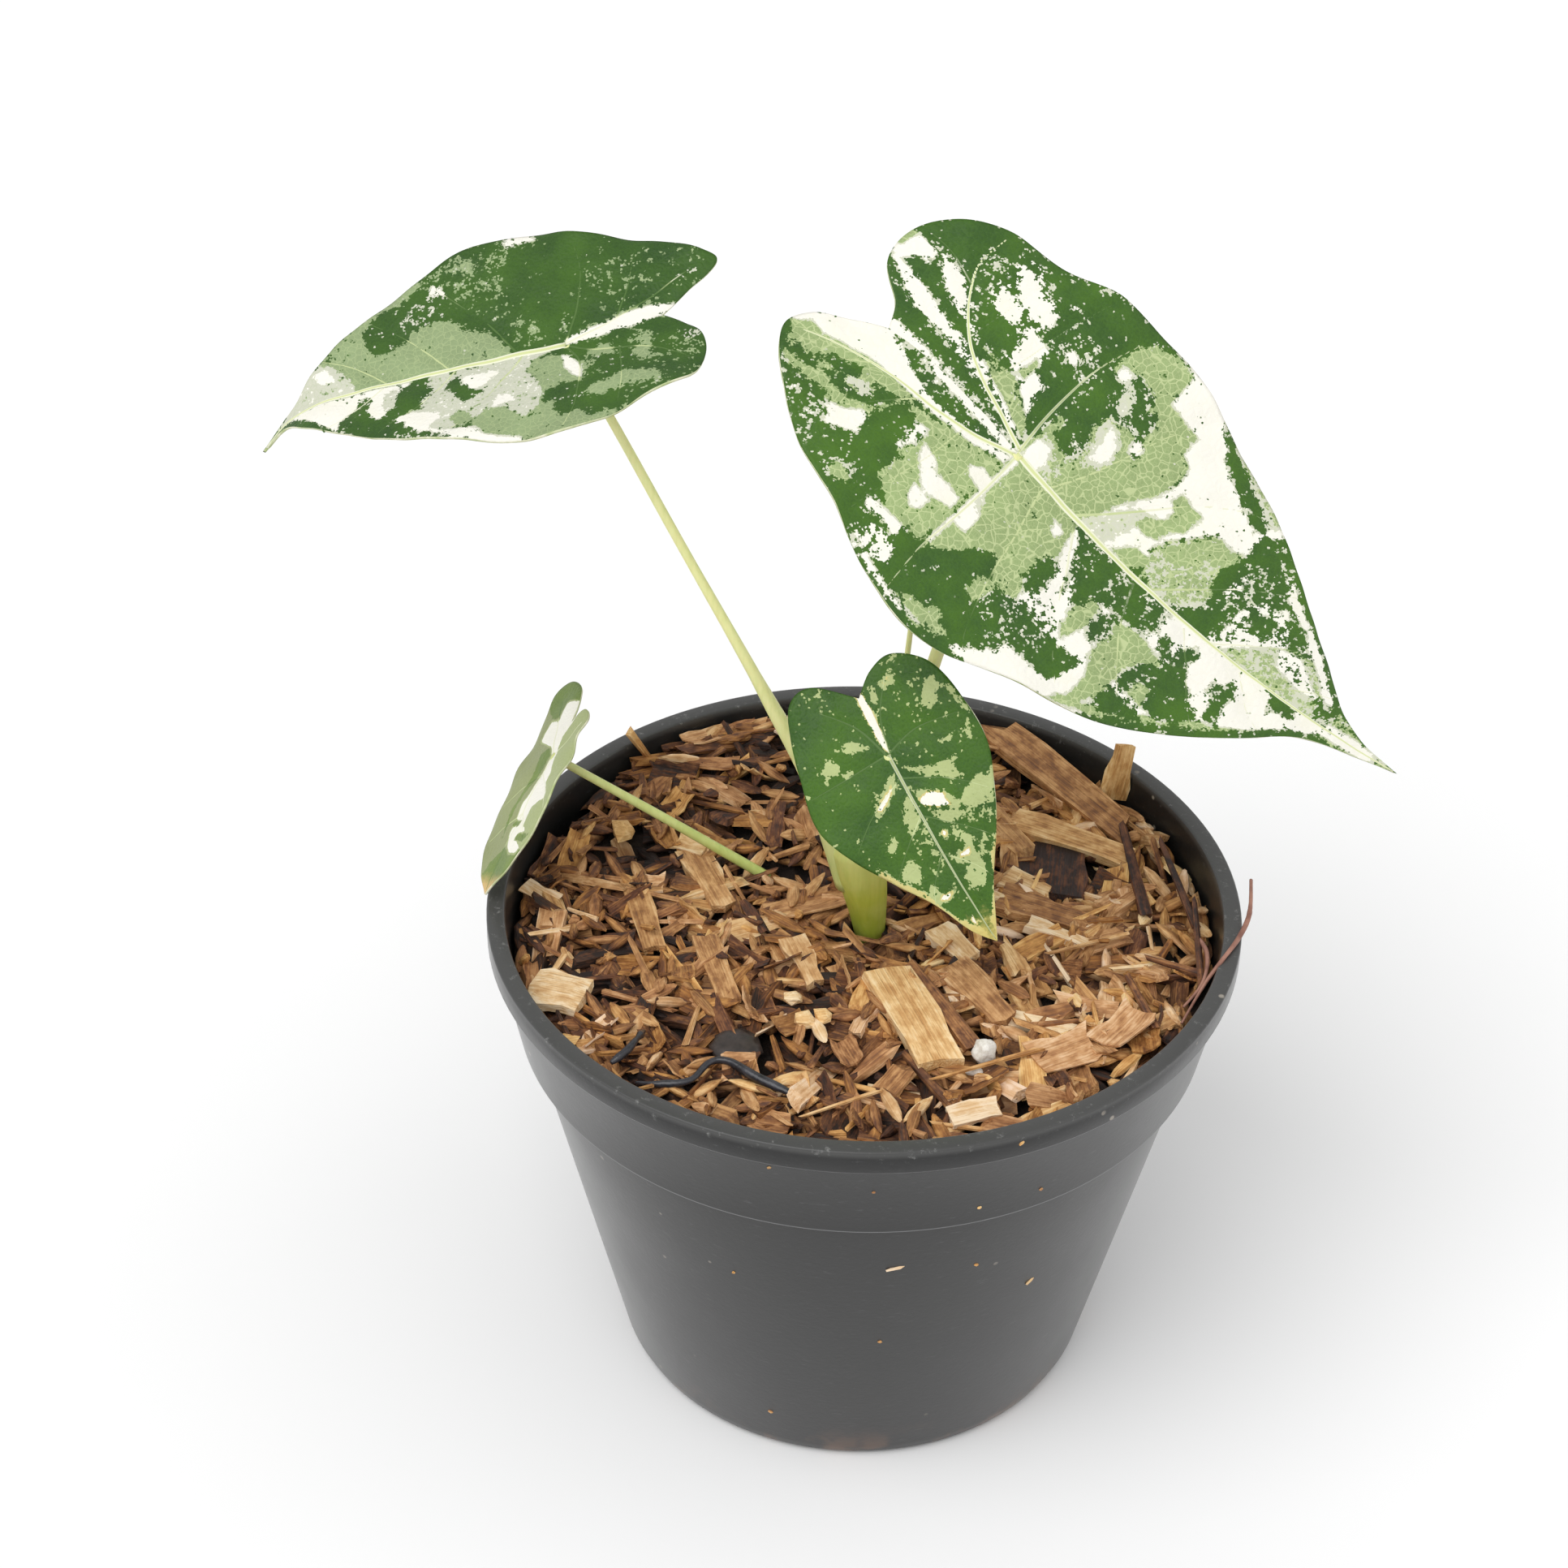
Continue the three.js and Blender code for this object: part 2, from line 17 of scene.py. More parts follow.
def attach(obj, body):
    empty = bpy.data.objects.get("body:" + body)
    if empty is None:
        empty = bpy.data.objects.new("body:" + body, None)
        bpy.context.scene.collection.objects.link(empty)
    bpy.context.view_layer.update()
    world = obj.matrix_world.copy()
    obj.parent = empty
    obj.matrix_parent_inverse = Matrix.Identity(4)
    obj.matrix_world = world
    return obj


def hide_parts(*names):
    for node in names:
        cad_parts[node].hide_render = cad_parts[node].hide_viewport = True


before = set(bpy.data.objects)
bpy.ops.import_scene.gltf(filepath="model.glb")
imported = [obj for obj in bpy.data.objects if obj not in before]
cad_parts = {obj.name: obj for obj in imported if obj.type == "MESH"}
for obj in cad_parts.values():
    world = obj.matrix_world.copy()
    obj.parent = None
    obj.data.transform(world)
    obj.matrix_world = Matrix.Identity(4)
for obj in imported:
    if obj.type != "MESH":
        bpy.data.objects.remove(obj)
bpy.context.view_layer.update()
MM = 0.001
print("solids:", ", ".join(sorted(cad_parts)))

# %% [markdown]
# ## Camera
# The pot is seen from above the rim, so a long lens looks down at about 36 degrees.
# The lens has no shift and no depth of field, so other views can use the same camera.

# %% Make the camera
CAMERA_AT = (0, -560.6, 545.2)
LENS = 82.0
LOOK_DOWN, TURN_LEFT, LEAN = 36.19, 1.66, 0.8

camera = bpy.data.objects.new("camera", bpy.data.cameras.new("camera"))
bpy.context.scene.collection.objects.link(camera)
camera.data.lens = LENS
camera.data.sensor_width = 36
camera.location = Vector(CAMERA_AT) * MM
camera.rotation_euler = (
    Matrix.Rotation(math.radians(TURN_LEFT), 3, "Z")
    @ Matrix.Rotation(math.radians(90 - LOOK_DOWN), 3, "X")
    @ Matrix.Rotation(math.radians(LEAN), 3, "Z")
).to_euler()
bpy.context.scene.camera = camera
print("camera looks from", [round(x, 3) for x in camera.location])

# %% [markdown]
# ## Small tools for meshes
# Most pieces here are a flat grid that a formula bends: half a blade, a stalk, the mix's surface.
# `bent_grid` makes the grid with a bmesh operator and moves its vertices. Values that a material
# needs later, such as how pale a place on the leaf is, are kept on the vertices as attributes.

# %% Helpers that turn a bmesh into a finished piece
def placed(bm, name):
    """An object made from a bmesh and linked to the scene."""
    mesh = bpy.data.meshes.new(name)
    bm.to_mesh(mesh)
    bm.free()
    piece = bpy.data.objects.new(name, mesh)
    bpy.context.scene.collection.objects.link(piece)
    return piece


def finished(bm, name, node, smooth_below=180):
    """A piece of the plant from a bmesh. It rides on the root body and stands for a solid."""
    piece = placed(bm, name)
    piece.data.shade_smooth()
    if smooth_below < 180:
        piece.data.set_sharp_from_angle(angle=math.radians(smooth_below))
    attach(piece, "root")
    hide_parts(node)
    print(f"{name}: {len(piece.data.polygons)} faces")
    return piece


def dress(piece, *finishes):
    """Gives a piece its materials, in the order of its slots."""
    piece.data.materials.clear()
    for finish in finishes:
        piece.data.materials.append(finish.material)


def bent_grid(bm, columns, rows, place):
    """Adds a grid bent by place(x, y), with x and y from 0 to 1, and returns its vertices."""
    made = bmesh.ops.create_grid(bm, x_segments=columns, y_segments=rows, size=1)["verts"]
    share = np.array([vert.co[:2] for vert in made]) / 2 + 0.5
    for vert, point in zip(made, place(share[:, 0], share[:, 1])):
        vert.co = Vector(point) * MM
    return made


def blank(numbers=(), vectors=()):
    """An empty bmesh whose vertices have room for the named numbers and vectors."""
    bm = bmesh.new()
    for name in numbers:
        bm.verts.layers.float.new(name)
    for name in vectors:
        bm.verts.layers.float_vector.new(name)
    return bm


def keep(bm, verts, name, values):
    """Stores one value for each vertex, for a material to read."""
    layers = bm.verts.layers
    layer = layers.float.get(name) or layers.float_vector.get(name)
    for vert, value in zip(verts, values):
        vert[layer] = value


def point_outwards(bm):
    """Turns all faces of a bmesh outwards."""
    bmesh.ops.recalc_face_normals(bm, faces=bm.faces[:])


# %% Helpers for smooth lines and tubes
WELD = 1e-7  # metres
ASLANT = (0.13, 0.97, 0.21)  # a direction that no tube here runs in


def smooth_line(points, t):
    """Places on the smooth curve through the listed points, for t from 0 to 1."""
    points = np.array(points, float)
    last = len(points) - 1
    place = np.clip(t, 0, 1) * last
    index = np.minimum(place.astype(int), last - 1)
    w = (place - index)[:, None]
    before, start = points[np.maximum(index - 1, 0)], points[index]
    end, after = points[index + 1], points[np.minimum(index + 2, last)]
    leave, arrive = (end - before) / 2, (after - start) / 2
    cubic = 2 * start - 2 * end + leave + arrive
    square = -3 * start + 3 * end - 2 * leave - arrive
    return cubic * w**3 + square * w**2 + leave * w + start


def even_line(points, count):
    """Evenly spaced places on that curve."""
    fine = smooth_line(points, np.linspace(0, 1, 400))
    run = np.concatenate([[0], np.cumsum(np.linalg.norm(np.diff(fine, axis=0), axis=1))])
    share = np.linspace(0, 1, count)
    return np.stack([np.interp(share * run[-1], run, fine[:, i]) for i in range(fine.shape[1])], 1)


def close_ends(bm, verts, sides):
    """Welds the seams of tubes that were bent from grids, and caps their ends."""
    bmesh.ops.remove_doubles(bm, verts=verts, dist=WELD)
    bmesh.ops.holes_fill(bm, edges=[edge for edge in bm.edges if edge.is_boundary], sides=sides)
    point_outwards(bm)


def tube(bm, points, radii, sides, steps, groove=0.0, laps=3, twist=0.0):
    """A closed tube along a line. groove cuts its outline into that many laps."""
    line = even_line(points, steps + 1)
    along = np.gradient(line, axis=0)
    along /= np.linalg.norm(along, axis=1)[:, None]
    side = np.cross(along, ASLANT)
    side /= np.linalg.norm(side, axis=1)[:, None]
    other = np.cross(along, side)
    thick = np.interp(np.linspace(0, 1, steps + 1), np.linspace(0, 1, len(radii)), radii)

    def place(x, y):
        step = np.round(y * steps).astype(int)
        angle = 2 * np.pi * x
        reach = thick[step] * (1 + groove * np.cos(laps * angle + twist * y))
        return (line[step] + side[step] * (reach * np.cos(angle))[:, None]
                + other[step] * (reach * np.sin(angle))[:, None])

    close_ends(bm, bent_grid(bm, sides, steps, place), sides)


# %% [markdown]
# ## Small tools for materials
# Every finish is made of Blender's own texture nodes. These helpers add a node, join its inputs
# and hand back an output, so that a finish reads as a short list of steps.

# %% Helpers that build node materials
class Finish:
    """A material with one Principled shader, and helpers that add nodes to it."""

    def __init__(self, name, roughness=0.5, **settings):
        self.material = bpy.data.materials.new(name)
        self.material.use_nodes = True
        self.tree = self.material.node_tree
        self.shader = self.tree.nodes["Principled BSDF"]
        self.shader.inputs["Roughness"].default_value = roughness
        for socket, value in settings.items():
            self.shader.inputs[socket.replace("_", " ")].default_value = value

    def add(self, kind, inputs, output, **settings):
        made = self.tree.nodes.new("ShaderNode" + kind)
        for setting, value in settings.items():
            setattr(made, setting, value)
        for socket, value in inputs.items():
            if isinstance(value, bpy.types.NodeSocket):
                self.tree.links.new(value, made.inputs[socket])
            else:
                made.inputs[socket].default_value = value
        return made.outputs[output]

    def place(self):
        return self.add("TexCoord", {}, "Object")

    def read(self, name, output="Fac"):
        return self.add("Attribute", {}, output, attribute_name=name)

    def part_of(self, vector, axis):
        return self.add("SeparateXYZ", {0: vector}, axis)

    def scaled(self, vector, x, y, z):
        return self.add("VectorMath", {0: vector, 1: (x, y, z)}, "Vector", operation="MULTIPLY")

    def shifted(self, vector, by):
        return self.add("VectorMath", {0: vector, 1: by}, "Vector", operation="ADD")

    def noise(self, vector, scale, detail=3.0, rough=0.6, output="Fac"):
        inputs = {"Vector": vector, "Scale": scale, "Detail": detail, "Roughness": rough}
        return self.add("TexNoise", inputs, output)

    def cells(self, vector, scale, output="Distance", feature="F1"):
        return self.add("TexVoronoi", {"Vector": vector, "Scale": scale}, output, feature=feature)

    def sum(self, *values):
        total = values[0]
        for value in values[1:]:
            total = self.add("Math", {0: total, 1: value}, 0, operation="ADD")
        return total

    def times(self, a, b):
        return self.add("Math", {0: a, 1: b}, 0, operation="MULTIPLY")

    def above(self, a, b):
        return self.add("Math", {0: a, 1: b}, 0, operation="MAXIMUM")

    def swing(self, value, by):
        """A noise made to swing about zero, by this much from end to end."""
        return self.times(self.sum(value, -0.5), by)

    def span(self, value, low, high, to_low=0.0, to_high=1.0):
        inputs = {"Value": value, "From Min": low, "From Max": high, "To Min": to_low, "To Max": to_high}
        return self.add("MapRange", inputs, "Result", interpolation_type="SMOOTHSTEP")

    def mix(self, share, under, over, blend="MIX"):
        """One colour over another: over shows where share is 1."""
        under, over = (tuple(c) + (1,) if isinstance(c, tuple) else c for c in (under, over))
        inputs = {0: share, 6: under, 7: over}
        return self.add("Mix", inputs, 2, data_type="RGBA", blend_type=blend)

    def darken(self, share, colour, by):
        """The colour times a grey or a tint, where share is 1."""
        return self.mix(share, colour, by, "MULTIPLY")

    def ramp(self, value, *stops):
        made = self.tree.nodes.new("ShaderNodeValToRGB")
        while len(made.color_ramp.elements) < len(stops):
            made.color_ramp.elements.new(1)
        for element, (position, colour) in zip(made.color_ramp.elements, stops):
            element.position = position
            element.color = tuple(colour) + (1,)
        self.tree.links.new(value, made.inputs["Fac"])
        return made.outputs["Color"]

    def colour(self, value):
        self.tree.links.new(value, self.shader.inputs["Base Color"])

    def rough(self, value):
        self.tree.links.new(value, self.shader.inputs["Roughness"])

    def bump(self, height, distance, strength=1.0):
        inputs = {"Height": height, "Distance": distance * MM, "Strength": strength}
        self.tree.links.new(self.add("Bump", inputs, "Normal"), self.shader.inputs["Normal"])


def speckled(name, roughness, scale, detail, bump, *stops, rough=0.6):
    """A finish of one fine noise that picks its colour from the stops and roughens the surface."""
    finish = Finish(name, roughness=roughness)
    speck = finish.noise(finish.place(), scale, detail=detail, rough=rough)
    finish.colour(finish.ramp(speck, *stops))
    finish.bump(speck, bump)
    return finish


# %% [markdown]
# ## The pot
# A nursery pot is a thin moulded shell: a tapered body, a step, a wider collar and a turned lip.
# Its cross-section is drawn once and spun round the axis, and the edges are then rounded with a
# bevel. Eight drainage holes are cut through the base with a Boolean modifier, which is simpler
# than building the base round them.

# %% Spin the pot's section
POT_OUTSIDE = [
    (0, 0), (46, 0), (48.4, 1), (49.5, 3.4), (67.3, 81.5), (69.6, 82.2), (73.4, 101.5), (74.7, 101.5),
    (75, 102.2), (75, 107),
]
POT_INSIDE = [(71.4, 107), (68.3, 82.8), (66, 80.2), (48.2, 3.5), (45.3, 2), (0, 2)]
TURN_STEPS = 144
COLLAR_ABOVE, SHARP, ROUNDING = 90, 35, 0.45

pot_shape = bmesh.new()
section = [pot_shape.verts.new((r * MM, 0, z * MM)) for r, z in POT_OUTSIDE + POT_INSIDE]
lines = [pot_shape.edges.new(pair) for pair in zip(section, section[1:])]
bmesh.ops.spin(
    pot_shape, geom=section + lines, cent=(0, 0, 0), axis=(0, 0, 1), angle=2 * math.pi,
    steps=TURN_STEPS, use_merge=True,
)
bmesh.ops.remove_doubles(pot_shape, verts=pot_shape.verts[:], dist=1e-6)
point_outwards(pot_shape)
rims = [
    edge for edge in pot_shape.edges
    if edge.calc_face_angle(0) > math.radians(SHARP) and edge.verts[0].co.z > COLLAR_ABOVE * MM
]
bmesh.ops.bevel(
    pot_shape, geom=rims, offset=ROUNDING * MM, offset_type="OFFSET", affect="EDGES", segments=3,
    profile=0.5, material=-1,
)
pot = finished(pot_shape, "nursery_pot", "pot", smooth_below=30)

# %% Cut the drainage holes
HOLES, HOLE_RING, HOLE_RADIUS = 8, 38, 4

drills = bmesh.new()
for index in range(HOLES):
    angle = (index + 0.5) * 2 * math.pi / HOLES
    at = Matrix.Translation(Vector((math.cos(angle), math.sin(angle), 0)) * HOLE_RING * MM)
    bmesh.ops.create_cone(
        drills, cap_ends=True, segments=24, radius1=HOLE_RADIUS * MM, radius2=HOLE_RADIUS * MM,
        depth=8 * MM, matrix=at,
    )
drill = placed(drills, "drills")
cut = pot.modifiers.new("holes", "BOOLEAN")
cut.object, cut.operation, cut.solver = drill, "DIFFERENCE", "EXACT"
pierced = bpy.data.meshes.new_from_object(pot.evaluated_get(bpy.context.evaluated_depsgraph_get()))
pot.modifiers.clear()
pot.data = pierced
bpy.data.objects.remove(drill)
print("pot with holes:", len(pierced.polygons), "faces")

# %% [markdown]
# The plastic is a matt charcoal. Close up it shows fine scratches round the body, a few specks of
# dust and soil, a painted highlight along the step, and a rim that is paler towards its top and
# rubbed paler in spots. All of it hangs on the object's own coordinates, in metres, so that it stays on the
# pot when the view moves.

# %% Finish the pot
STEP_AT = 0.0817
RUB_FROM, RUB_FULL = 0.1035, 0.1068  # heights between which the rim is rubbed ever paler
# heights between which the rim turns paler towards its top
PALER_TOP_FROM, PALER_TOP_FULL = 0.1052, 0.1066
SOIL_UP_TO = 0.012
RUBBED_GREY = (0.3, 0.3, 0.29)

plastic = Finish(
    "charcoal_plastic", roughness=0.42, Specular_IOR_Level=0.2,
    Coat_Weight=1.0, Coat_Roughness=0.3, Coat_IOR=1.28,
)
here = plastic.place()
height = plastic.part_of(here, "Z")
clouds = plastic.noise(here, 22, detail=5)
body = plastic.ramp(clouds, (0.3, (0.009, 0.009, 0.009)), (0.7, (0.02, 0.0199, 0.0196)))
scratch_lines = plastic.noise(plastic.scaled(here, 260, 260, 1400), 1, detail=4, rough=0.7)
scratches = plastic.span(scratch_lines, 0.6, 0.75, 0, 0.35)
scratched = plastic.mix(scratches, body, (0.12, 0.122, 0.125))
dust_area = plastic.noise(plastic.shifted(here, (4, 1, 7)), 30, detail=3)
dust = plastic.times(plastic.span(plastic.cells(here, 190), 0.14, 0.07), plastic.span(dust_area, 0.56, 0.62))
dusty = plastic.mix(dust, scratched, (0.33, 0.29, 0.24))
paler_top = plastic.mix(plastic.span(height, PALER_TOP_FROM, PALER_TOP_FULL, 0, 0.3), dusty, (0.16, 0.16, 0.155))
rub_spots = plastic.span(plastic.noise(here, 520, detail=6, rough=0.75), 0.57, 0.72)
rub = plastic.times(plastic.span(height, RUB_FROM, RUB_FULL), rub_spots)
rubbed = plastic.mix(plastic.times(rub, 0.55), paler_top, RUBBED_GREY)
# Painted highlight: a pale line along the step, where light catches the edge of the moulding.
step_highlight = plastic.times(
    plastic.span(height, STEP_AT - 0.0009, STEP_AT - 0.0003),
    plastic.span(height, STEP_AT + 0.0009, STEP_AT + 0.0003),
)
lined = plastic.mix(plastic.times(step_highlight, 0.9), rubbed, (0.3, 0.302, 0.305))
soil_spots = plastic.span(plastic.noise(here, 70, detail=4), 0.52, 0.66)
soil = plastic.times(plastic.span(height, SOIL_UP_TO, 0.0), soil_spots)
plastic.colour(plastic.mix(plastic.times(soil, 0.6), lined, (0.16, 0.085, 0.05)))
plastic.rough(plastic.span(clouds, 0.3, 0.7, 0.38, 0.52))
plastic.bump(plastic.sum(plastic.times(scratch_lines, 0.4), plastic.noise(here, 900, detail=2)), 0.05)
dress(pot, plastic)
print("finish:", plastic.material.name)

# %% [markdown]
# ## The growing mix
# The pot is filled with bark, wood chips and rice husks. A lumpy plug carries the surface, and
# nearly two thousand loose pieces lie on it in layers, thrown at random with a fixed seed. Each
# kind of piece is drawn a few times with few faces, and copied with its own turn, tilt and tint.
# A bump in the material would be simpler, but only real pieces give the mix its deep shadows.

# %% The surface under the loose pieces
MIX_LEVEL = 98
MIX_SIDE = [(0, 2.4), (43, 2.4), (47, 5.6), (65.4, 80), (67.7, 83), (69.8, 97)]
SIDE_SHARE = 0.4  # how much of the grid's height the side takes
PLUG_DEPTH = 2.4  # how far the plug lies below the mix's level


def relief(x, y):
    """Height of the mix above its mean level, banked up against the back wall."""
    bank = 4.5 * np.exp(-((x + 28) ** 2 + (y - 64) ** 2) / 36**2)
    lumps = 0.5 * np.sin(x * 0.31 + 1) * np.cos(y * 0.27) + 0.35 * np.sin(x * 0.13 - y * 0.19 + 2)
    return 1 - (np.hypot(x, y) / 73.4) ** 2 + bank + lumps


def mix_place(x, y):
    """From the middle of the foot, up the side and back to the middle of the top."""
    angle = 2 * np.pi * x
    side = np.array(MIX_SIDE, float)
    stations = np.linspace(0, SIDE_SHARE, len(side))
    down = np.interp(y, stations, side[:, 0])
    radius = np.where(y < SIDE_SHARE, down, side[-1, 0] * (1 - (y - SIDE_SHARE) / (1 - SIDE_SHARE)))
    east, north = radius * np.cos(angle), radius * np.sin(angle)
    crumbs = 0.9 * np.sin(east * 1.7 + 2 * np.sin(north * 0.9)) * np.sin(north * 1.9 + east * 0.6)
    top = MIX_LEVEL + relief(east, north) + crumbs * np.clip((70 - radius) / 10, 0, 1) - PLUG_DEPTH
    rise = np.interp(y, stations, side[:, 1])
    return np.stack([east, north, np.where(y < SIDE_SHARE, rise, top)], 1)


plug_shape = bmesh.new()
plug_verts = bent_grid(plug_shape, 120, 75, mix_place)
bmesh.ops.remove_doubles(plug_shape, verts=plug_verts, dist=1e-5)
point_outwards(plug_shape)
mix_plug = finished(plug_shape, "mix_base", "growing_mix")

# %% Shapes of the loose pieces
# Each kind is drawn a few times as a small bmesh, one unit long, wide and thick.
random.seed(17)
LENGTHWISE = Matrix.Rotation(math.pi / 2, 3, "Y")


def husk_shape():
    """A plump, boat-shaped husk with a keel."""
    bm = bmesh.new()
    bmesh.ops.create_uvsphere(bm, u_segments=8, v_segments=6, radius=0.5)
    bmesh.ops.rotate(bm, verts=bm.verts[:], cent=(0, 0, 0), matrix=LENGTHWISE)
    bow, lean = random.uniform(-0.15, 0.3), random.uniform(-0.15, 0.15)
    for vert in bm.verts:
        x, y, z = vert.co
        pinch = 1 - 1.2 * x**2
        furrow = 0.16 if z > 0 and abs(y) < 0.2 else 0
        vert.co = (x, y * pinch + lean * x * x, z * pinch + bow * 4 * x * x - furrow)
    return bm


def chip_shape(cuts, rag):
    """A split piece of wood with ragged ends."""
    bm = bmesh.new()
    bmesh.ops.create_cube(bm, size=1)
    long_edges = [e for e in bm.edges if abs(e.verts[0].co.x - e.verts[1].co.x) > 0.5]
    bmesh.ops.subdivide_edges(bm, edges=long_edges, cuts=cuts, use_grid_fill=True)
    wide_edges = [e for e in bm.edges if abs(e.verts[0].co.y - e.verts[1].co.y) > 0.5]
    bmesh.ops.subdivide_edges(bm, edges=wide_edges, cuts=1, use_grid_fill=True)
    narrow = random.uniform(0.55, 1)
    for vert in bm.verts:
        end = abs(vert.co.x) > 0.49
        vert.co.x += random.uniform(-rag, rag) * (1 if end else 0.3)
        vert.co.y *= (narrow if vert.co.x > 0 else 1) * random.uniform(0.86, 1.06)
        vert.co.z *= random.uniform(0.45, 1) if end else random.uniform(0.8, 1.1)
    return bm


def splinter_shape():
    """A thin sliver that tapers towards one end."""
    bm = bmesh.new()
    bmesh.ops.create_cone(bm, cap_ends=True, segments=5, radius1=0.32, radius2=0.5, depth=1)
    bmesh.ops.rotate(bm, verts=bm.verts[:], cent=(0, 0, 0), matrix=LENGTHWISE)
    for vert in bm.verts:
        vert.co.x += random.uniform(-0.06, 0.06)
    return bm


def crumb_shape():
    """A broken crumb of bark."""
    bm = bmesh.new()
    bmesh.ops.create_icosphere(bm, subdivisions=1, radius=0.5)
    for vert in bm.verts:
        vert.co *= random.uniform(0.7, 1.15)
    return bm


def flake_shape():
    """A thin curled flake of bark or dry leaf."""
    bm = bmesh.new()
    bmesh.ops.create_grid(bm, x_segments=4, y_segments=3, size=0.5)
    for vert in bm.verts:
        vert.co.z = 0.9 * vert.co.y**2 + 0.4 * vert.co.x**2 + random.uniform(-0.05, 0.05)
        vert.co.x += random.uniform(-0.08, 0.08)
        vert.co.y += random.uniform(-0.1, 0.1)
    bmesh.ops.solidify(bm, geom=bm.faces[:], thickness=0.12)
    return bm


def drawn(maker, count, *settings):
    """Several different drawings of one kind of piece, as meshes."""
    meshes = []
    for _ in range(count):
        bm = maker(*settings)
        point_outwards(bm)
        meshes.append(bpy.data.meshes.new("drawing"))
        bm.to_mesh(meshes[-1])
        bm.free()
    return meshes


DRAWINGS = {
    "husk": drawn(husk_shape, 4),
    "chip": drawn(chip_shape, 8, 2, 0.12),
    "slab": drawn(chip_shape, 5, 3, 0.04),
    "splinter": drawn(splinter_shape, 4),
    "crumb": drawn(crumb_shape, 5),
    "flake": drawn(flake_shape, 6),
}
print("drawings:", {kind: len(meshes) for kind, meshes in DRAWINGS.items()})


# %% Copy one piece into a heap
SHADE_FREE_RISE = 3  # what stands this far above its level gets no painted crevice shade, as a crumb on the pot's outside
GRAIN_FIELD = 900  # each piece reads the grain pattern at a place of its own within this width


def add_copy(heap, kind, at, size, turn, tilt, spin, tone, warm=None):
    """Adds one piece of the mix and returns its vertices.

    tone runs from 0, dark and rotten, to 1, pale new wood; for thrown pieces it also carries painted
    shade. warm runs from 0, pinkish, to 1, golden, and is drawn at random where it isn't given.
    """
    start = len(heap.verts)
    heap.from_mesh(random.choice(DRAWINGS[kind]))
    heap.verts.ensure_lookup_table()
    verts = heap.verts[start:]
    scale = Matrix.Diagonal((*size, 1))
    points = [scale @ vert.co for vert in verts]
    turned = (
        Matrix.Rotation(math.radians(turn), 4, "Z") @ Matrix.Rotation(math.radians(-tilt), 4, "Y")
        @ Matrix.Rotation(math.radians(spin), 4, "X")
    )
    offset = Vector((random.uniform(0, GRAIN_FIELD), random.uniform(0, GRAIN_FIELD), 0))
    warm = random.random() if warm is None else warm
    level = MIX_LEVEL + relief(at[0], at[1]) if at[2] > MIX_LEVEL - SHADE_FREE_RISE else at[2] - SHADE_FREE_RISE
    rims = [abs(vert.co.y) * 2 for vert in verts]
    for vert, point in zip(verts, points):
        vert.co = (Vector(at) + turned @ point) * MM
    keep(heap, verts, "rim", rims)
    keep(heap, verts, "tone", [tone] * len(verts))
    keep(heap, verts, "warm", [warm] * len(verts))
    keep(heap, verts, "proud", [vert.co.z / MM - level for vert in verts])
    keep(heap, verts, "grain", [point + offset for point in points])
    return verts


# %% Throw the layers
# kind, count, length, width, thickness, layer height above the surface, widest tilt, mean tone (darker for
# lower layers, as painted shade)
LAYERS = [
    ("chip", 260, (9, 18), (3.4, 7), (1.4, 2.8), (-1.4, 0.3), 22, 0.22),
    ("flake", 150, (7, 13), (4.5, 8.5), (3, 6), (-1.0, 0.8), 26, 0.28),
    ("husk", 450, (7.5, 11), (2.3, 3.3), (1.8, 2.6), (-0.8, 1.0), 32, 0.33),
    ("splinter", 150, (7, 16), (1.3, 2.6), (1, 2), (0.0, 1.6), 28, 0.33),
    ("crumb", 150, (2, 4.5), (1.8, 4), (1.5, 3.2), (-0.2, 1.4), 40, 0.38),
    ("husk", 480, (7.5, 11), (2.2, 3.2), (1.7, 2.5), (0.8, 2.4), 32, 0.48),
    ("chip", 110, (8, 16), (2.8, 6), (1.2, 2.2), (1.0, 2.2), 24, 0.5),
    ("splinter", 110, (7, 16), (1.0, 2.0), (0.8, 1.5), (1.5, 2.8), 26, 0.5),
    ("flake", 50, (6, 10), (3.5, 6.5), (2.5, 4.5), (1.4, 2.6), 28, 0.55),
]
WALL_REACH, WALL_SLOPE = 70, 0.128
CHORD = 560  # eight times the wall's radius, for how far the middle of a piece's side stands off
TONE_SPREAD, EDGE_SPREAD = 0.17, 9
CLEARINGS = [  # place and radius of what no loose piece covers
    (1.2, -0.7, 5), (-10, 15.4, 4), (-15, 15.6, 3.2), (-19, 15.7, 2.2), (-23.5, -37.5, 5.5), (-4.4, -33, 3.5),
    (37.5, 21, 8), (39, 29, 6), (23.3, -40.3, 3.5), (-12.9, -26.5, 2.5), (-10.4, -32.5, 2.5),
    (-49.9, 25.2, 3.5), (-58.6, -24, 5), (9, -36, 4), (12.5, -30, 4),
]


def press_inside(verts):
    """Moves what would poke through the pot's wall back inside it."""
    for vert in verts:
        room = WALL_REACH * MM + (vert.co.z - MIX_LEVEL * MM) * WALL_SLOPE
        vert.co.xy *= min(1, room / max(vert.co.xy.length, MM))


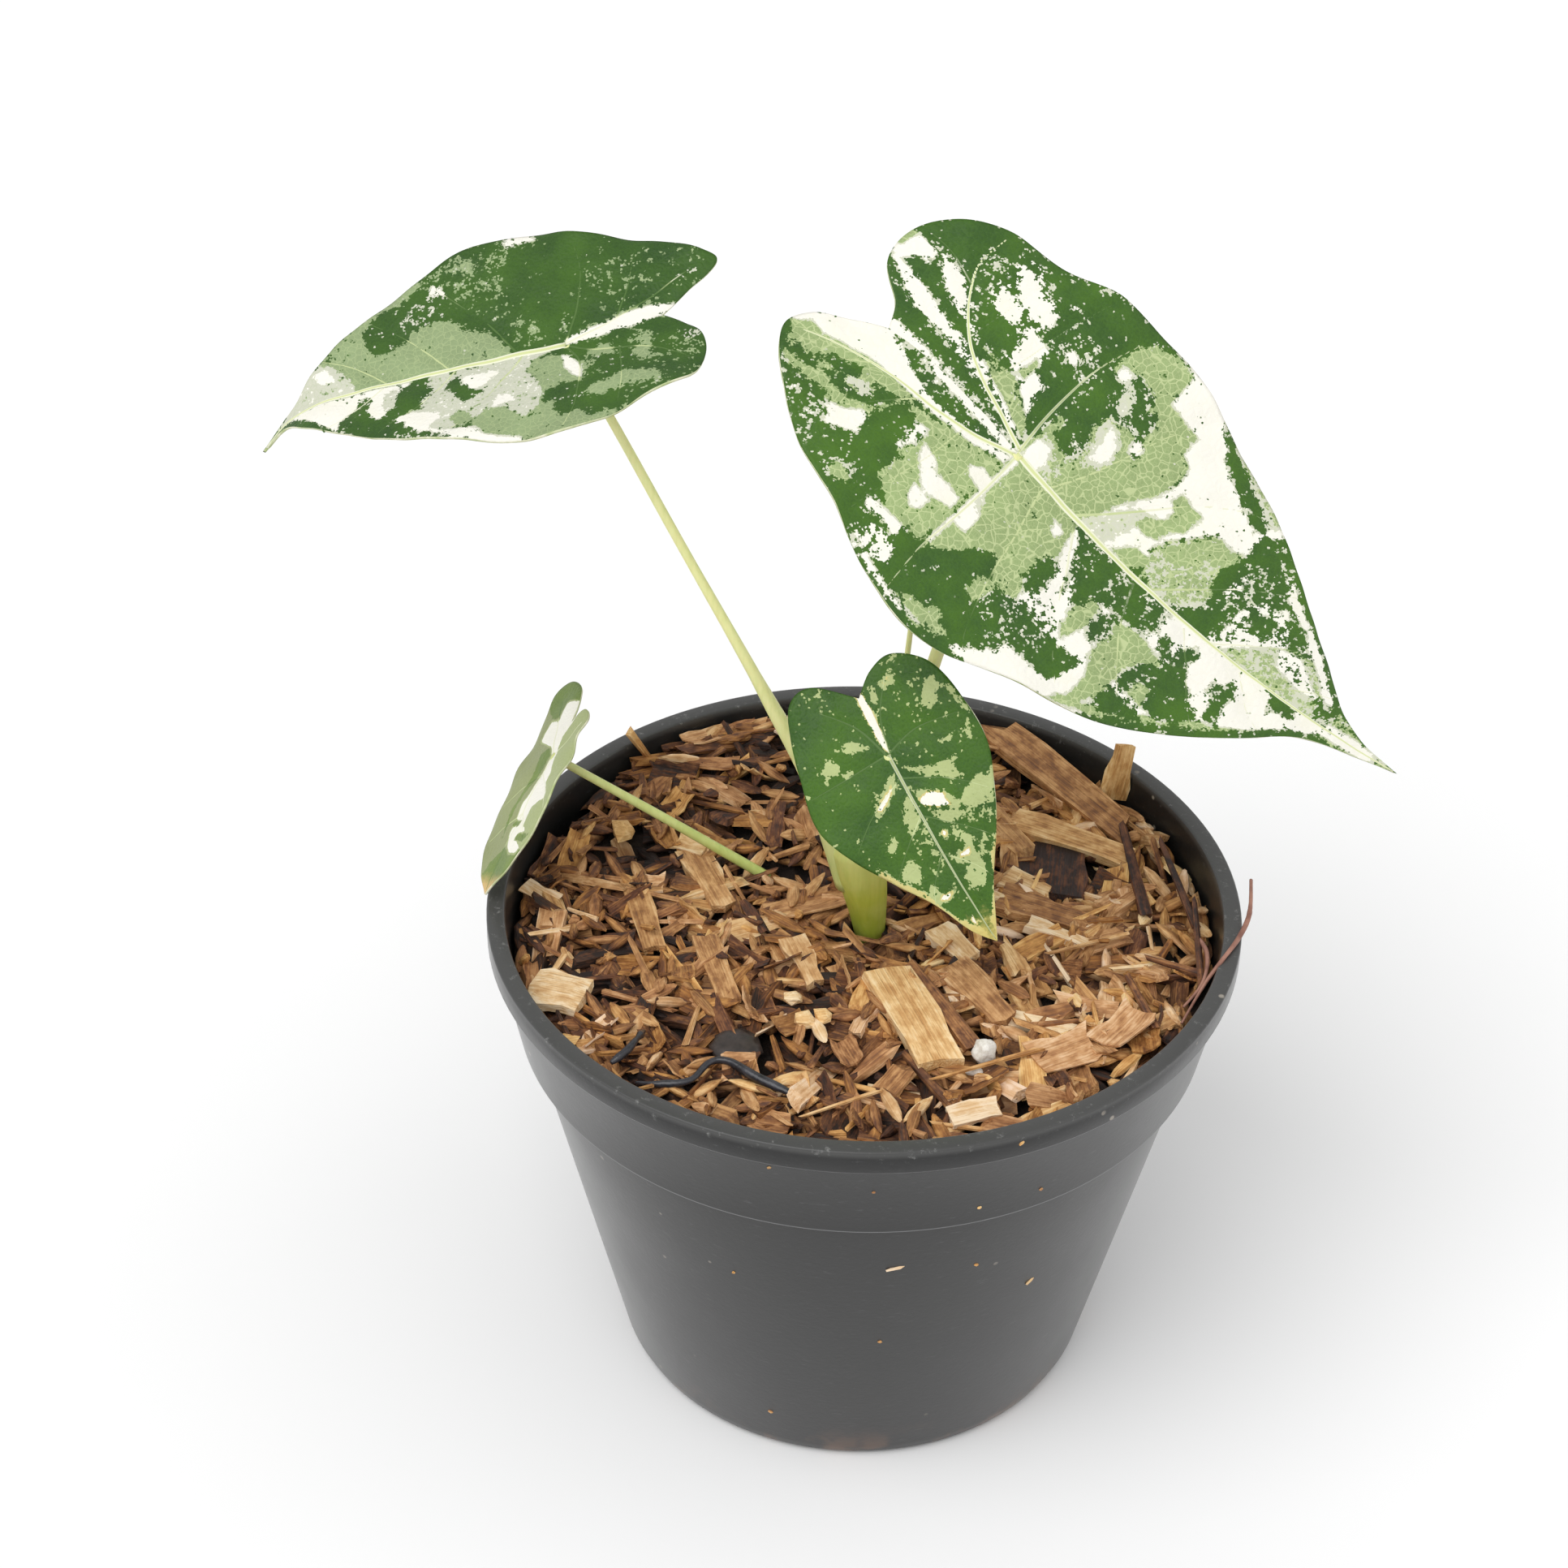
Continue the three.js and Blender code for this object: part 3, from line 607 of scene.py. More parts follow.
def scattered(heap, kind, count, length, width, thick, layer, tilt, tone):
    """Throws count pieces of one kind over the surface. Next to the wall they lie along it. They are
    lighter towards the right, and darker towards the back as a painted shadow of the leaves."""
    thrown = 0
    while thrown < count:
        size = [random.uniform(*length), random.uniform(*width), random.uniform(*thick)]
        reach = WALL_REACH * math.sqrt(random.random())
        angle, turn = random.uniform(0, 360), random.uniform(0, 360)
        if reach > WALL_REACH - size[0] / 2:
            turn = angle + 90 + random.gauss(0, EDGE_SPREAD)
            reach = min(reach, WALL_REACH - size[1] / 2 - size[0] ** 2 / CHORD)
        x, y = reach * math.cos(math.radians(angle)), reach * math.sin(math.radians(angle))
        if any(math.hypot(x - at_x, y - at_y) < clear for at_x, at_y, clear in CLEARINGS):
            continue
        z = MIX_LEVEL + relief(x, y) + random.uniform(*layer)
        # Painted shadow of the leaves: pieces turn darker towards the back. They also turn lighter towards
        # the right.
        tone_and_shade = random.gauss(tone, TONE_SPREAD) + 0.001 * x + 0.002 * max(x, 0) - 0.0015 * max(y, 0)
        tilts = random.gauss(0, tilt / 2), random.gauss(0, tilt)
        press_inside(add_copy(heap, kind, (x, y, z), size, turn, *tilts, min(max(tone_and_shade, 0.02), 0.98)))
        thrown += 1


heaps = {kind: blank(["tone", "warm", "rim", "proud"], ["grain"]) for kind in DRAWINGS}
for layer_of in LAYERS:
    scattered(heaps[layer_of[0]], *layer_of)
print("loose pieces:", sum(row[1] for row in LAYERS))

# %% Pieces that stand out
# kind, its two ends, width, thickness, spin, tone, warmth
NOTABLE = [
    ("slab", (5.2, -17.6, 102.4), (15.6, -43.4, 101.6), 10.4, 3.2, -4, 0.76, 0.7),
    ("splinter", (9.6, -14.5, 102), (22, -38, 101), 5, 4.4, 0, 0.36, 0.2),
    ("slab", (17.4, -13.2, 101.8), (28, -29.5, 101), 7.6, 3, 12, 0.54, 0.3),
    ("slab", (-65, -24, 101.4), (-53.4, -27.4, 102), 12.5, 2.2, -4, 0.84, 0.5),
    ("slab", (51.5, 44.5, 101), (53.5, 46, 114), 6.4, 2, 70, 0.74, 0.8),
    ("chip", (25.5, 66.5, 104.5), (54.3, 31.5, 101.8), 8.4, 2.6, 14, 0.46, 0.35),
    ("slab", (29.7, 35.6, 101.8), (55, 22.4, 101.6), 6.4, 2.6, 10, 0.62, 0.6),
    ("slab", (36.6, 11.5, 100.2), (38.8, 33.5, 100.2), 17, 2, -3, 0.03, 0.1),
    ("chip", (27.6, 16.2, 101.6), (37.5, 10.6, 101), 6, 2, 8, 0.72, 0.5),
    ("slab", (27.4, 9.2, 101.4), (46.8, 0.4, 101), 8.4, 2.4, 6, 0.45, 0.3),
    ("slab", (32.9, 0.3, 102), (44.4, -5.4, 101.4), 4.2, 2, 0, 0.88, 0.4),
    ("slab", (14.5, -2.2, 102), (21.4, -10.9, 101), 6, 2.4, 8, 0.84, 0.5),
    ("splinter", (52.8, 33.2, 103), (56.5, 4.9, 101.8), 3, 2.6, 0, 0.13, 0.1),
    ("splinter", (60.4, 25.5, 104.6), (66, 1, 103), 2, 1.6, 0, 0.16, 0.2),
    ("splinter", (66.2, 6.9, 104), (66.4, -18, 102.4), 1.8, 1.5, 0, 0.2, 0.2),
    ("splinter", (-45.5, 51, 102), (-50.5, 50.4, 110.5), 2.6, 2, 0, 0.62, 0.8),
    ("slab", (-47, 11.2, 101.2), (-41, -10.3, 100.8), 5.2, 2, 8, 0.5, 0.5),
    ("slab", (-31.5, -6.9, 101.8), (-25.2, -26.5, 101), 5.4, 2.2, 6, 0.52, 0.4),
    ("slab", (-14.1, -6.8, 101.8), (-8.9, -19.9, 101), 5.6, 2.2, 6, 0.66, 0.4),
    ("slab", (-36, 22, 101.6), (-28, 3, 101.4), 7, 2.2, 4, 0.6, 0.45),
    ("flake", (-4.5, 8, 101.4), (-19, 1.5, 101), 7, 3, 6, 0.5, 0.3),
    ("flake", (33.5, -42, 101.6), (45, -35, 101.6), 8.5, 3, 8, 0.64, 0.1),
    ("flake", (47, -36.5, 101.8), (54.5, -26, 102.4), 8, 3.6, -10, 0.64, 0.1),
    ("slab", (17.4, -57.6, 101), (26.4, -54.4, 101.2), 5.4, 1.6, 6, 0.93, 0.4),
    ("chip", (22, 42, 101.6), (33, 24, 101), 6, 2.4, 4, 0.5, 0.5),
    ("chip", (31.5, -15.5, 101.6), (27.4, -4.4, 101.2), 4, 2, 4, 0.7, 0.6),
    ("splinter", (8.5, -40, 101.4), (17.5, -54, 101), 2.6, 2.2, 0, 0.26, 0.4),
    ("splinter", (14, -48.5, 102.4), (34, -39.5, 103), 1.3, 1, 0, 0.58, 0.7),
    ("splinter", (-10.4, -59.2, 101.4), (3.6, -52, 102), 1, 0.9, 0, 0.72, 0.6),
    ("splinter", (36, -10.5, 103), (52, -3.5, 103), 1.3, 1, 0, 0.62, 0.5),
    ("splinter", (56, -10, 102.6), (66, -14, 102.4), 2, 1.6, 0, 0.24, 0.2),
    ("splinter", (52, -16, 102.6), (57, -31, 102), 2.2, 1.8, 0, 0.3, 0.2),
    ("crumb", (-13.2, -32.6, 102.4), (-8, -32, 102.2), 4.6, 3.6, 10, 0.9, 0.7),
    ("crumb", (-9.4, -31.4, 102.6), (-4.8, -30.8, 102.4), 4.2, 3.4, 0, 0.84, 0.8),
    ("crumb", (-15.4, -26.2, 102.4), (-10.6, -25.4, 102.6), 3.8, 3, 0, 0.9, 0.6),
    ("crumb", (-53, 25.2, 103.2), (-46.9, 25.2, 103.2), 6, 5.4, 0, 0.8, 0.8),
    ("crumb", (-60.4, -42.2, 101.8), (-53, -38.6, 101.4), 5.4, 2.4, 0, 0.72, 0.9),
]
for kind, start, end, width, thick, spin, tone, warm in NOTABLE:
    start, end = Vector(start), Vector(end)
    run = end - start
    turn, tilt = math.degrees(math.atan2(run.y, run.x)), math.degrees(math.asin(run.z / run.length))
    size = (run.length, width, thick)
    press_inside(add_copy(heaps[kind], kind, (start + end) / 2, size, turn, tilt, spin, tone, warm))
print("pieces placed one by one:", len(NOTABLE))

# %% Crumbs spilled on the pot
# place on the pot's outside as an angle and a height, size, tone
SPILLS = [
    (-82.5, 67.7, (5, 0.9, 0.7), 0.97), (-54.7, 51.9, (3, 1.2, 0.7), 0.72),
    (-68, 64.8, (1.2, 0.8, 0.6), 0.6), (-70.6, 86.7, (1.2, 1, 0.6), 0.7),
    (-60.3, 87.2, (1, 0.8, 0.5), 0.55), (-84.3, 42.4, (1.1, 0.8, 0.5), 0.6),
    (-111.7, 59.6, (1, 0.7, 0.5), 0.7), (-102.6, 99.3, (1.2, 0.8, 0.5), 0.75),
    (-87.2, 94.7, (0.9, 0.8, 0.5), 0.6), (-107.8, 12.4, (1.3, 0.9, 0.5), 0.5),
    (-66.1, 105, (1.6, 1, 0.5), 0.7), (40, 58, (1.4, 0.9, 0.5), 0.6),
    (118, 71, (1.1, 0.9, 0.5), 0.7), (176, 38, (1.3, 0.8, 0.5), 0.6),
]
WALL_RADII, WALL_HEIGHTS = zip(*POT_OUTSIDE[3:])
for angle, high, size, tone in SPILLS:
    wall = float(np.interp(high, WALL_HEIGHTS, WALL_RADII))
    around = math.radians(angle)
    at = (wall * math.cos(around), wall * math.sin(around), high)
    add_copy(heaps["crumb"], "crumb", at, size, angle + 90, random.uniform(-30, 30), 90, tone)
print("crumbs on the pot:", len(SPILLS))

# %% Turn the heaps into pieces
mix_pieces = [
    finished(heap, f"mix_{kind}s", "growing_mix", smooth_below=70 if kind == "husk" else 40)
    for kind, heap in heaps.items()
]

# %% [markdown]
# Wood and husk share one finish. The tint of each piece picks a brown from a ramp, a noise that is
# stretched along the piece draws its grain, and what lies deep is darker, as painted shade in the
# crevices. The plug is dark: damp fines, darkened further as painted shade in the gaps.

# %% Finish the mix
wood = Finish("bark_and_husk", roughness=0.8)
grain_at = wood.read("grain", "Vector")
grain = wood.noise(wood.scaled(grain_at, 0.045, 2.6, 2.6), 1, detail=3, rough=0.5)
blotch = wood.noise(wood.scaled(grain_at, 0.3, 0.5, 0.5), 1, detail=3)
rim_light = wood.span(wood.read("rim"), 0.55, 0.95, -0.02, 0.1)
streaks = wood.span(grain, 0.3, 0.7, -0.09, 0.09)
stains = wood.span(blotch, 0.3, 0.7, -0.13, 0.13)
brown = wood.ramp(
    wood.sum(wood.read("tone"), streaks, stains, rim_light),
    (0.0, (0.022, 0.011, 0.008)), (0.22, (0.125, 0.048, 0.02)), (0.42, (0.33, 0.154, 0.053)),
    (0.62, (0.56, 0.314, 0.13)), (0.82, (0.76, 0.525, 0.285)), (1.0, (0.88, 0.71, 0.5)),
)
hue = wood.ramp(
    wood.read("warm"), (0.1, (1.02, 0.95, 0.98)), (0.5, (1.01, 0.99, 0.94)), (0.9, (1.07, 0.96, 0.68)),
)
# Painted shade: the parts of pieces that lie deep in the heap are darkened, as in the crevices between them.
deep = wood.span(wood.read("proud"), 2.2, -1.2, 0, 0.92)
wood.colour(wood.darken(deep, wood.darken(1.0, brown, hue), (0.16, 0.11, 0.08)))
wood.rough(wood.span(grain, 0.3, 0.7, 0.62, 0.88))
wood.bump(wood.sum(grain, wood.times(blotch, 0.4)), 0.35)

# The plug's dark brown is partly damp fines and partly painted shade in the gaps between pieces.
damp_and_gap_shade = speckled(
    "damp_fines_and_gap_shade", 0.9, 330, 6, 1.2, (0.35, (0.01, 0.007, 0.005)), (0.65, (0.035, 0.02, 0.012)),
    (0.85, (0.1, 0.055, 0.03)), rough=0.7,
)
for piece in mix_pieces:
    dress(piece, wood)
dress(mix_plug, damp_and_gap_shade)
print("finishes:", wood.material.name, damp_and_gap_shade.material.name)

# %% [markdown]
# A few white mineral grains, one dark pebble and thin roots lie among the wood. The stones are
# rounded lumps and the roots are bent tubes, because neither has a flat side to start from.

# %% Grains and pebble
STONES = [((-23.5, -38, 100), (10, 9.5, 4))]
GRAINS = [((23.9, -39.3, 101.6), (4.6, 4.4, 6)), ((22, -44, 100.8), (3.4, 2.2, 2))]


def lumps(places, name, finish, uneven):
    """Rounded stones at the listed places and sizes."""
    bm = bmesh.new()
    for at, size in places:
        made = bmesh.ops.create_icosphere(bm, subdivisions=3, radius=0.5)["verts"]
        bmesh.ops.scale(bm, verts=made, vec=Vector(size) * MM)
        for vert in made:
            dent = math.sin(vert.co.x * 2100 + vert.co.y * 1300) * math.cos(vert.co.z * 1700)
            vert.co *= 1 + uneven * dent
        bmesh.ops.translate(bm, verts=made, vec=Vector(at) * MM)
    dress(finished(bm, name, "growing_mix"), finish)


slate = speckled(
    "dark_pebble", 0.42, 500, 4, 0.1, (0.35, (0.02, 0.015, 0.013)), (0.7, (0.05, 0.037, 0.032)),
)
white_grain = speckled(
    "perlite_grain", 0.7, 700, 4, 0.3, (0.3, (0.55, 0.5, 0.42)), (0.6, (0.85, 0.82, 0.76)),
)
lumps(STONES, "mix_pebbles", slate, 0.1)
lumps(GRAINS, "mix_grains", white_grain, 0.15)

# %% Roots
BLACK_ROOTS = [
    [(-42, -50, 100.4), (-37.9, -51.6, 101.6), (-31.8, -51.1, 102.4), (-28.3, -46.2, 102.8),
     (-24.6, -46, 103), (-19.6, -49.6, 102.6), (-13.4, -52.8, 102), (-9.7, -55.5, 101.4)],
    [(-41.5, -36, 101.4), (-42.6, -40.3, 102.8), (-44.2, -43.6, 102.8), (-47, -46.4, 102)],
]
PINK_ROOTS = [
    [(77, 6, 110.4), (76.2, -3, 109), (73.8, -9.5, 108), (70.4, -15.6, 107.4), (66.8, -20.4, 105),
     (62, -28.7, 101.6)],
    [(66, -2, 102.6), (67.8, -10, 104), (66.6, -18, 103.2), (62.6, -24, 101.8)],
]


def roots(name, lines, radii, finish, groove, twist):
    """Thin roots, one tube along each line."""
    bm = bmesh.new()
    for line in lines:
        tube(bm, line, radii, 8, 12 * len(line), groove=groove, laps=2, twist=twist)
    dress(finished(bm, name, "growing_mix"), finish)


black_root = speckled(
    "black_root", 0.3, 300, 3, 0.3, (0.3, (0.008, 0.008, 0.01)), (0.7, (0.045, 0.045, 0.055)),
)
pink_root = speckled(
    "pink_root", 0.6, 250, 3, 0.2, (0.3, (0.2, 0.085, 0.06)), (0.7, (0.42, 0.21, 0.15)),
)
roots("mix_root", BLACK_ROOTS, [0.4, 0.75, 0.55, 0.8, 0.95, 0.85, 0.4], black_root, 0.12, 11)
roots("mix_thin_roots", PINK_ROOTS, [0.35, 0.5, 0.45, 0.4, 0.25], pink_root, 0.1, 9)

# %% [markdown]
# ## Stem and stalks
# Each leaf stands on a long stalk. At the bottom the stalks widen into sheaths that wrap one
# another, which makes the short green stem. Tubes with a smooth line and a list of radii give both.

# %% Tubes for the stem and the stalks
STEM = [(1.6, -0.7, 92), (1.5, -0.7, 98), (0.7, -0.8, 106), (-0.5, -1, 113.4), (-1.6, -1.2, 119.5),
        (-3, -1, 127)]
STEM_RADII = [2.6, 2.9, 3.6, 4.4, 5.1, 5.2, 3.4]
STALKS = {
    "large": ([(0.6, 0, 112), (3, 0.8, 122), (12.5, 6, 162.5), (22.6, 10.6, 194), (25.9, 12.1, 203.6)],
              [2.4, 1.8, 1.3, 1.15, 1.1]),
    "left": ([(-2.6, -1, 112), (-5.6, -0.8, 122), (-10.3, 1, 135.2), (-17.2, 3, 147.7), (-20.1, 4, 153),
              (-25.4, 5.5, 163), (-36.7, 8.6, 184), (-50.1, 12.4, 209.3), (-58, 15, 222)],
             [3.2, 2.9, 2.4, 1.6, 1.15, 1, 0.92, 0.9, 0.88, 0.86, 0.85]),
    "front": ([(-0.2, -2.4, 113), (1.2, -4.4, 122), (2.6, -9, 138), (3.8, -15, 153.2)], [2, 1.5, 1.1, 0.9]),
    "small": ([(0.4, 15.2, 86.5), (-17, 15.6, 98), (-40, 16.3, 113), (-63.2, 17, 127.6)],
              [1.15, 1.1, 0.95, 0.8]),
}
NEW_LEAF = ([(0.2, 1.2, 114), (2.8, 2.4, 126), (5.4, 3, 146), (7.1, 4, 168), (7.9, 6.4, 185)],
            [1, 0.8, 0.6, 0.55, 0.25])


def stalk(name, node, slot, line, radii, sides, steps, **grooves):
    """One upright tube of the plant."""
    bm = bmesh.new()
    tube(bm, line, radii, sides, steps, **grooves)
    return finished(bm, name, node)


stem = stalk("stem", "stem_sheath", "stem_green", STEM, STEM_RADII, 48, 60, groove=0.05, twist=2)
stalks = [
    stalk(f"stalk_{name}", f"leaf_stalk_{name}", "stalk_pale", *shape, 16, 60, groove=0.04, laps=2)
    for name, shape in STALKS.items()
]
stalks.append(
    stalk("new_leaf_roll", "new_leaf", "stalk_pale", *NEW_LEAF, 14, 50, groove=0.12, laps=1, twist=20)
)

# %% [markdown]
# The stalks are pale yellow-green with fine lines along them, and paler still at the top as painted
# light where the leaves shade them. The stem is greener, darkest where it goes into the mix. Height
# decides how green each of them is.

# %% Finish the stem and the stalks
def skin(name, low, high, stops, streak):
    """Fleshy green skin with lines along it. The stops run from the height low to the height high."""
    fleshy = Finish(name, roughness=0.42, Subsurface_Weight=0.12, Subsurface_Scale=0.002)
    at = fleshy.place()
    height = fleshy.span(fleshy.part_of(at, "Z"), low, high)
    streaks = fleshy.noise(fleshy.scaled(at, 900, 900, 60), 1, detail=3)
    mottle = fleshy.span(fleshy.noise(at, 160, detail=3), 0.45, 0.75, 0, 0.25)
    shade = fleshy.span(streaks, 0.35, 0.7, 0.0, streak)
    lined = fleshy.darken(shade, fleshy.ramp(height, *stops), (0.72, 0.8, 0.55))
    fleshy.colour(fleshy.mix(mottle, lined, stops[-1][1]))
    fleshy.bump(streaks, 0.12)
    return fleshy


stem_skin = skin("stem_skin", 0.098, 0.128, [
    (0.0, (0.27, 0.33, 0.03)), (0.4, (0.46, 0.5, 0.07)), (1.0, (0.66, 0.68, 0.24)),
], 0.4)
# The top stop is made paler as painted light, where the leaves shade the upper stalks.
stalk_skin = skin("stalk_skin", 0.098, 0.16, [
    (0.0, (0.5, 0.58, 0.17)), (0.35, (0.62, 0.66, 0.27)), (1.0, (0.77, 0.77, 0.36)),
], 0.35)
dress(stem, stem_skin)
for piece in stalks:
    dress(piece, stalk_skin)
print("finishes:", stem_skin.material.name, stalk_skin.material.name)

# %% [markdown]
# ## Leaves
# A blade is drawn flat first. `along` runs from the stalk to the tip and `across` sideways, and the
# two margins are smooth curves from the tip round the lobe to the notch. Half a blade is a grid
# whose rows run out from the midrib to the margin, as the side veins do. One formula then folds,
# bends and turns the flat drawing into its place on the plant.

# %% The four leaves
LEAVES = {
    "large": {
        "attach": (25.8, 12, 203.8), "turned": (-26.9, -42.2, 25.5),
        "length": 95, "bend": 0.31, "fold": 0.057, "sweep": 0.27, "droop": 0,
        "right": [(98, 0), (86, 2), (77, 5), (68, 13), (58, 21), (46, 28), (30, 33), (18, 38.5), (8, 41),
                  (-4, 39), (-15, 35), (-28, 30), (-40, 21), (-46, 12.5), (-44.5, 6.5), (-38.5, 3), (-33, 0)],
        "left": [(98, 0), (88, 2), (80, 5.5), (71, 12.5), (58, 21), (44, 28), (29, 34), (16, 37.5), (4, 38.5),
                 (-8, 37), (-19, 33), (-31, 31), (-40, 26), (-44, 19), (-42.5, 11), (-36, 5), (-33, 0)],
        "wave": 0.9, "waves": 5, "station": 13,
    },
    "left": {
        "attach": (-58, 15, 222.2), "turned": (185.2, -13, -14.3),
        "length": 60, "bend": 0.17, "fold": 0.18, "sweep": -0.06, "droop": 0.82,
        "right": [(62, 0), (54, 2), (48, 7.5), (41, 13.5), (31, 20), (19, 25.5), (7, 27.5), (-6, 24.5),
                  (-18, 20.3), (-27, 16.3), (-29.8, 13.3), (-24, 8), (-18.5, 3.5)],
        "left": [(62, 0), (55.5, 1), (50, 5.5), (42, 11), (30, 17.3), (17, 23), (5, 26.7), (-6, 24.2),
                 (-15, 19.5), (-22.5, 15.5), (-25.7, 8.5), (-24.5, 2), (-18.5, -3.5)],
        "wave": 0.7, "waves": 4, "station": 10,
    },
    "front": {
        "attach": (3.7, -15, 153.4), "turned": (-48.9, -42.6, 41.4),
        "length": 43, "bend": 0.25, "fold": 0.053, "sweep": 0.04, "droop": 0,
        "right": [(40.5, 0), (36.5, 3), (29, 6.2), (22, 11), (15, 15.3), (6, 18.6), (-3, 17), (-11, 15.2),
                  (-17, 12), (-18, 7), (-12, 0)],
        "left": [(40.5, 0), (36.5, 2.2), (29.5, 6), (22, 11), (15.5, 14.5), (6, 18), (-4, 17.5), (-12, 15.2),
                 (-16.7, 9.5), (-15.7, 4.5), (-12, 0)],
        "wave": 0.5, "waves": 4, "station": 8,
    },
    "small": {
        "attach": (-63.1, 17, 127.5), "turned": (238.7, -33.9, 39.5),
        "length": 31, "bend": 0.1, "fold": 0.06, "sweep": 0, "droop": 0,
        "right": [(31, 0), (27, 4.5), (21, 8.5), (14, 11), (6, 11.7), (-2, 11.7), (-9, 13), (-14, 13.8),
                  (-17.8, 11), (-16, 5.5), (-8, 0)],
        "left": [(31, 0), (27, 5), (21, 8.5), (14, 10.5), (6, 10.5), (-1, 9.3), (-6, 7.5), (-9.5, 5.8),
                 (-11, 3.8), (-10.5, 1.8), (-8, 0)],
        "wave": 0.4, "waves": 3, "station": 8,
    },
}
HALVES = {"right": -1, "left": 1}  # the sign of the places across on each half
ROWS_PER_POINT = 2
VEIN_BOW = 0.06
DROOP_FROM = 0.75  # share of the length from which the tip droops
CREASE = 2  # how wide the fold is rounded at the midrib


def blade_place(leaf, u, v, height):
    """Places in space for flat places u along and v across, at a height above the blade."""
    azimuth, elevation, roll = (math.radians(angle) for angle in leaf["turned"])
    along = np.array([math.cos(elevation) * math.cos(azimuth), math.cos(elevation) * math.sin(azimuth),
                      math.sin(elevation)])
    level = np.cross([0, 0, 1], along)
    level /= np.linalg.norm(level)
    up = np.cross(along, level)
    across = math.cos(roll) * level + math.sin(roll) * up
    face = math.cos(roll) * up - math.sin(roll) * level
    t = u / leaf["length"]
    late = np.maximum(t - DROOP_FROM, 0)
    sag = -leaf["bend"] / 2 * t**2 - 2 * leaf["droop"] * late**2
    slope = -leaf["bend"] * t - 4 * leaf["droop"] * late
    lift = height + leaf["fold"] * (np.sqrt(v**2 + CREASE**2) - CREASE)
    tilt = np.hypot(1, slope)
    side = v + leaf["sweep"] * leaf["length"] * t * np.abs(t)
    return (np.array(leaf["attach"]) + np.outer(u - lift * slope / tilt, along) + np.outer(side, across)
            + np.outer(sag * leaf["length"] + lift / tilt, face))


# %% [markdown]
# ### Veins
# A thick midrib runs to the tip, a strong rib goes back into each lobe, and thinner side veins
# leave them and bow towards the tip. They are slim tubes in the thickness of the blade, which
# stand out a little on the face and more underneath, and the blade puffs up between them.

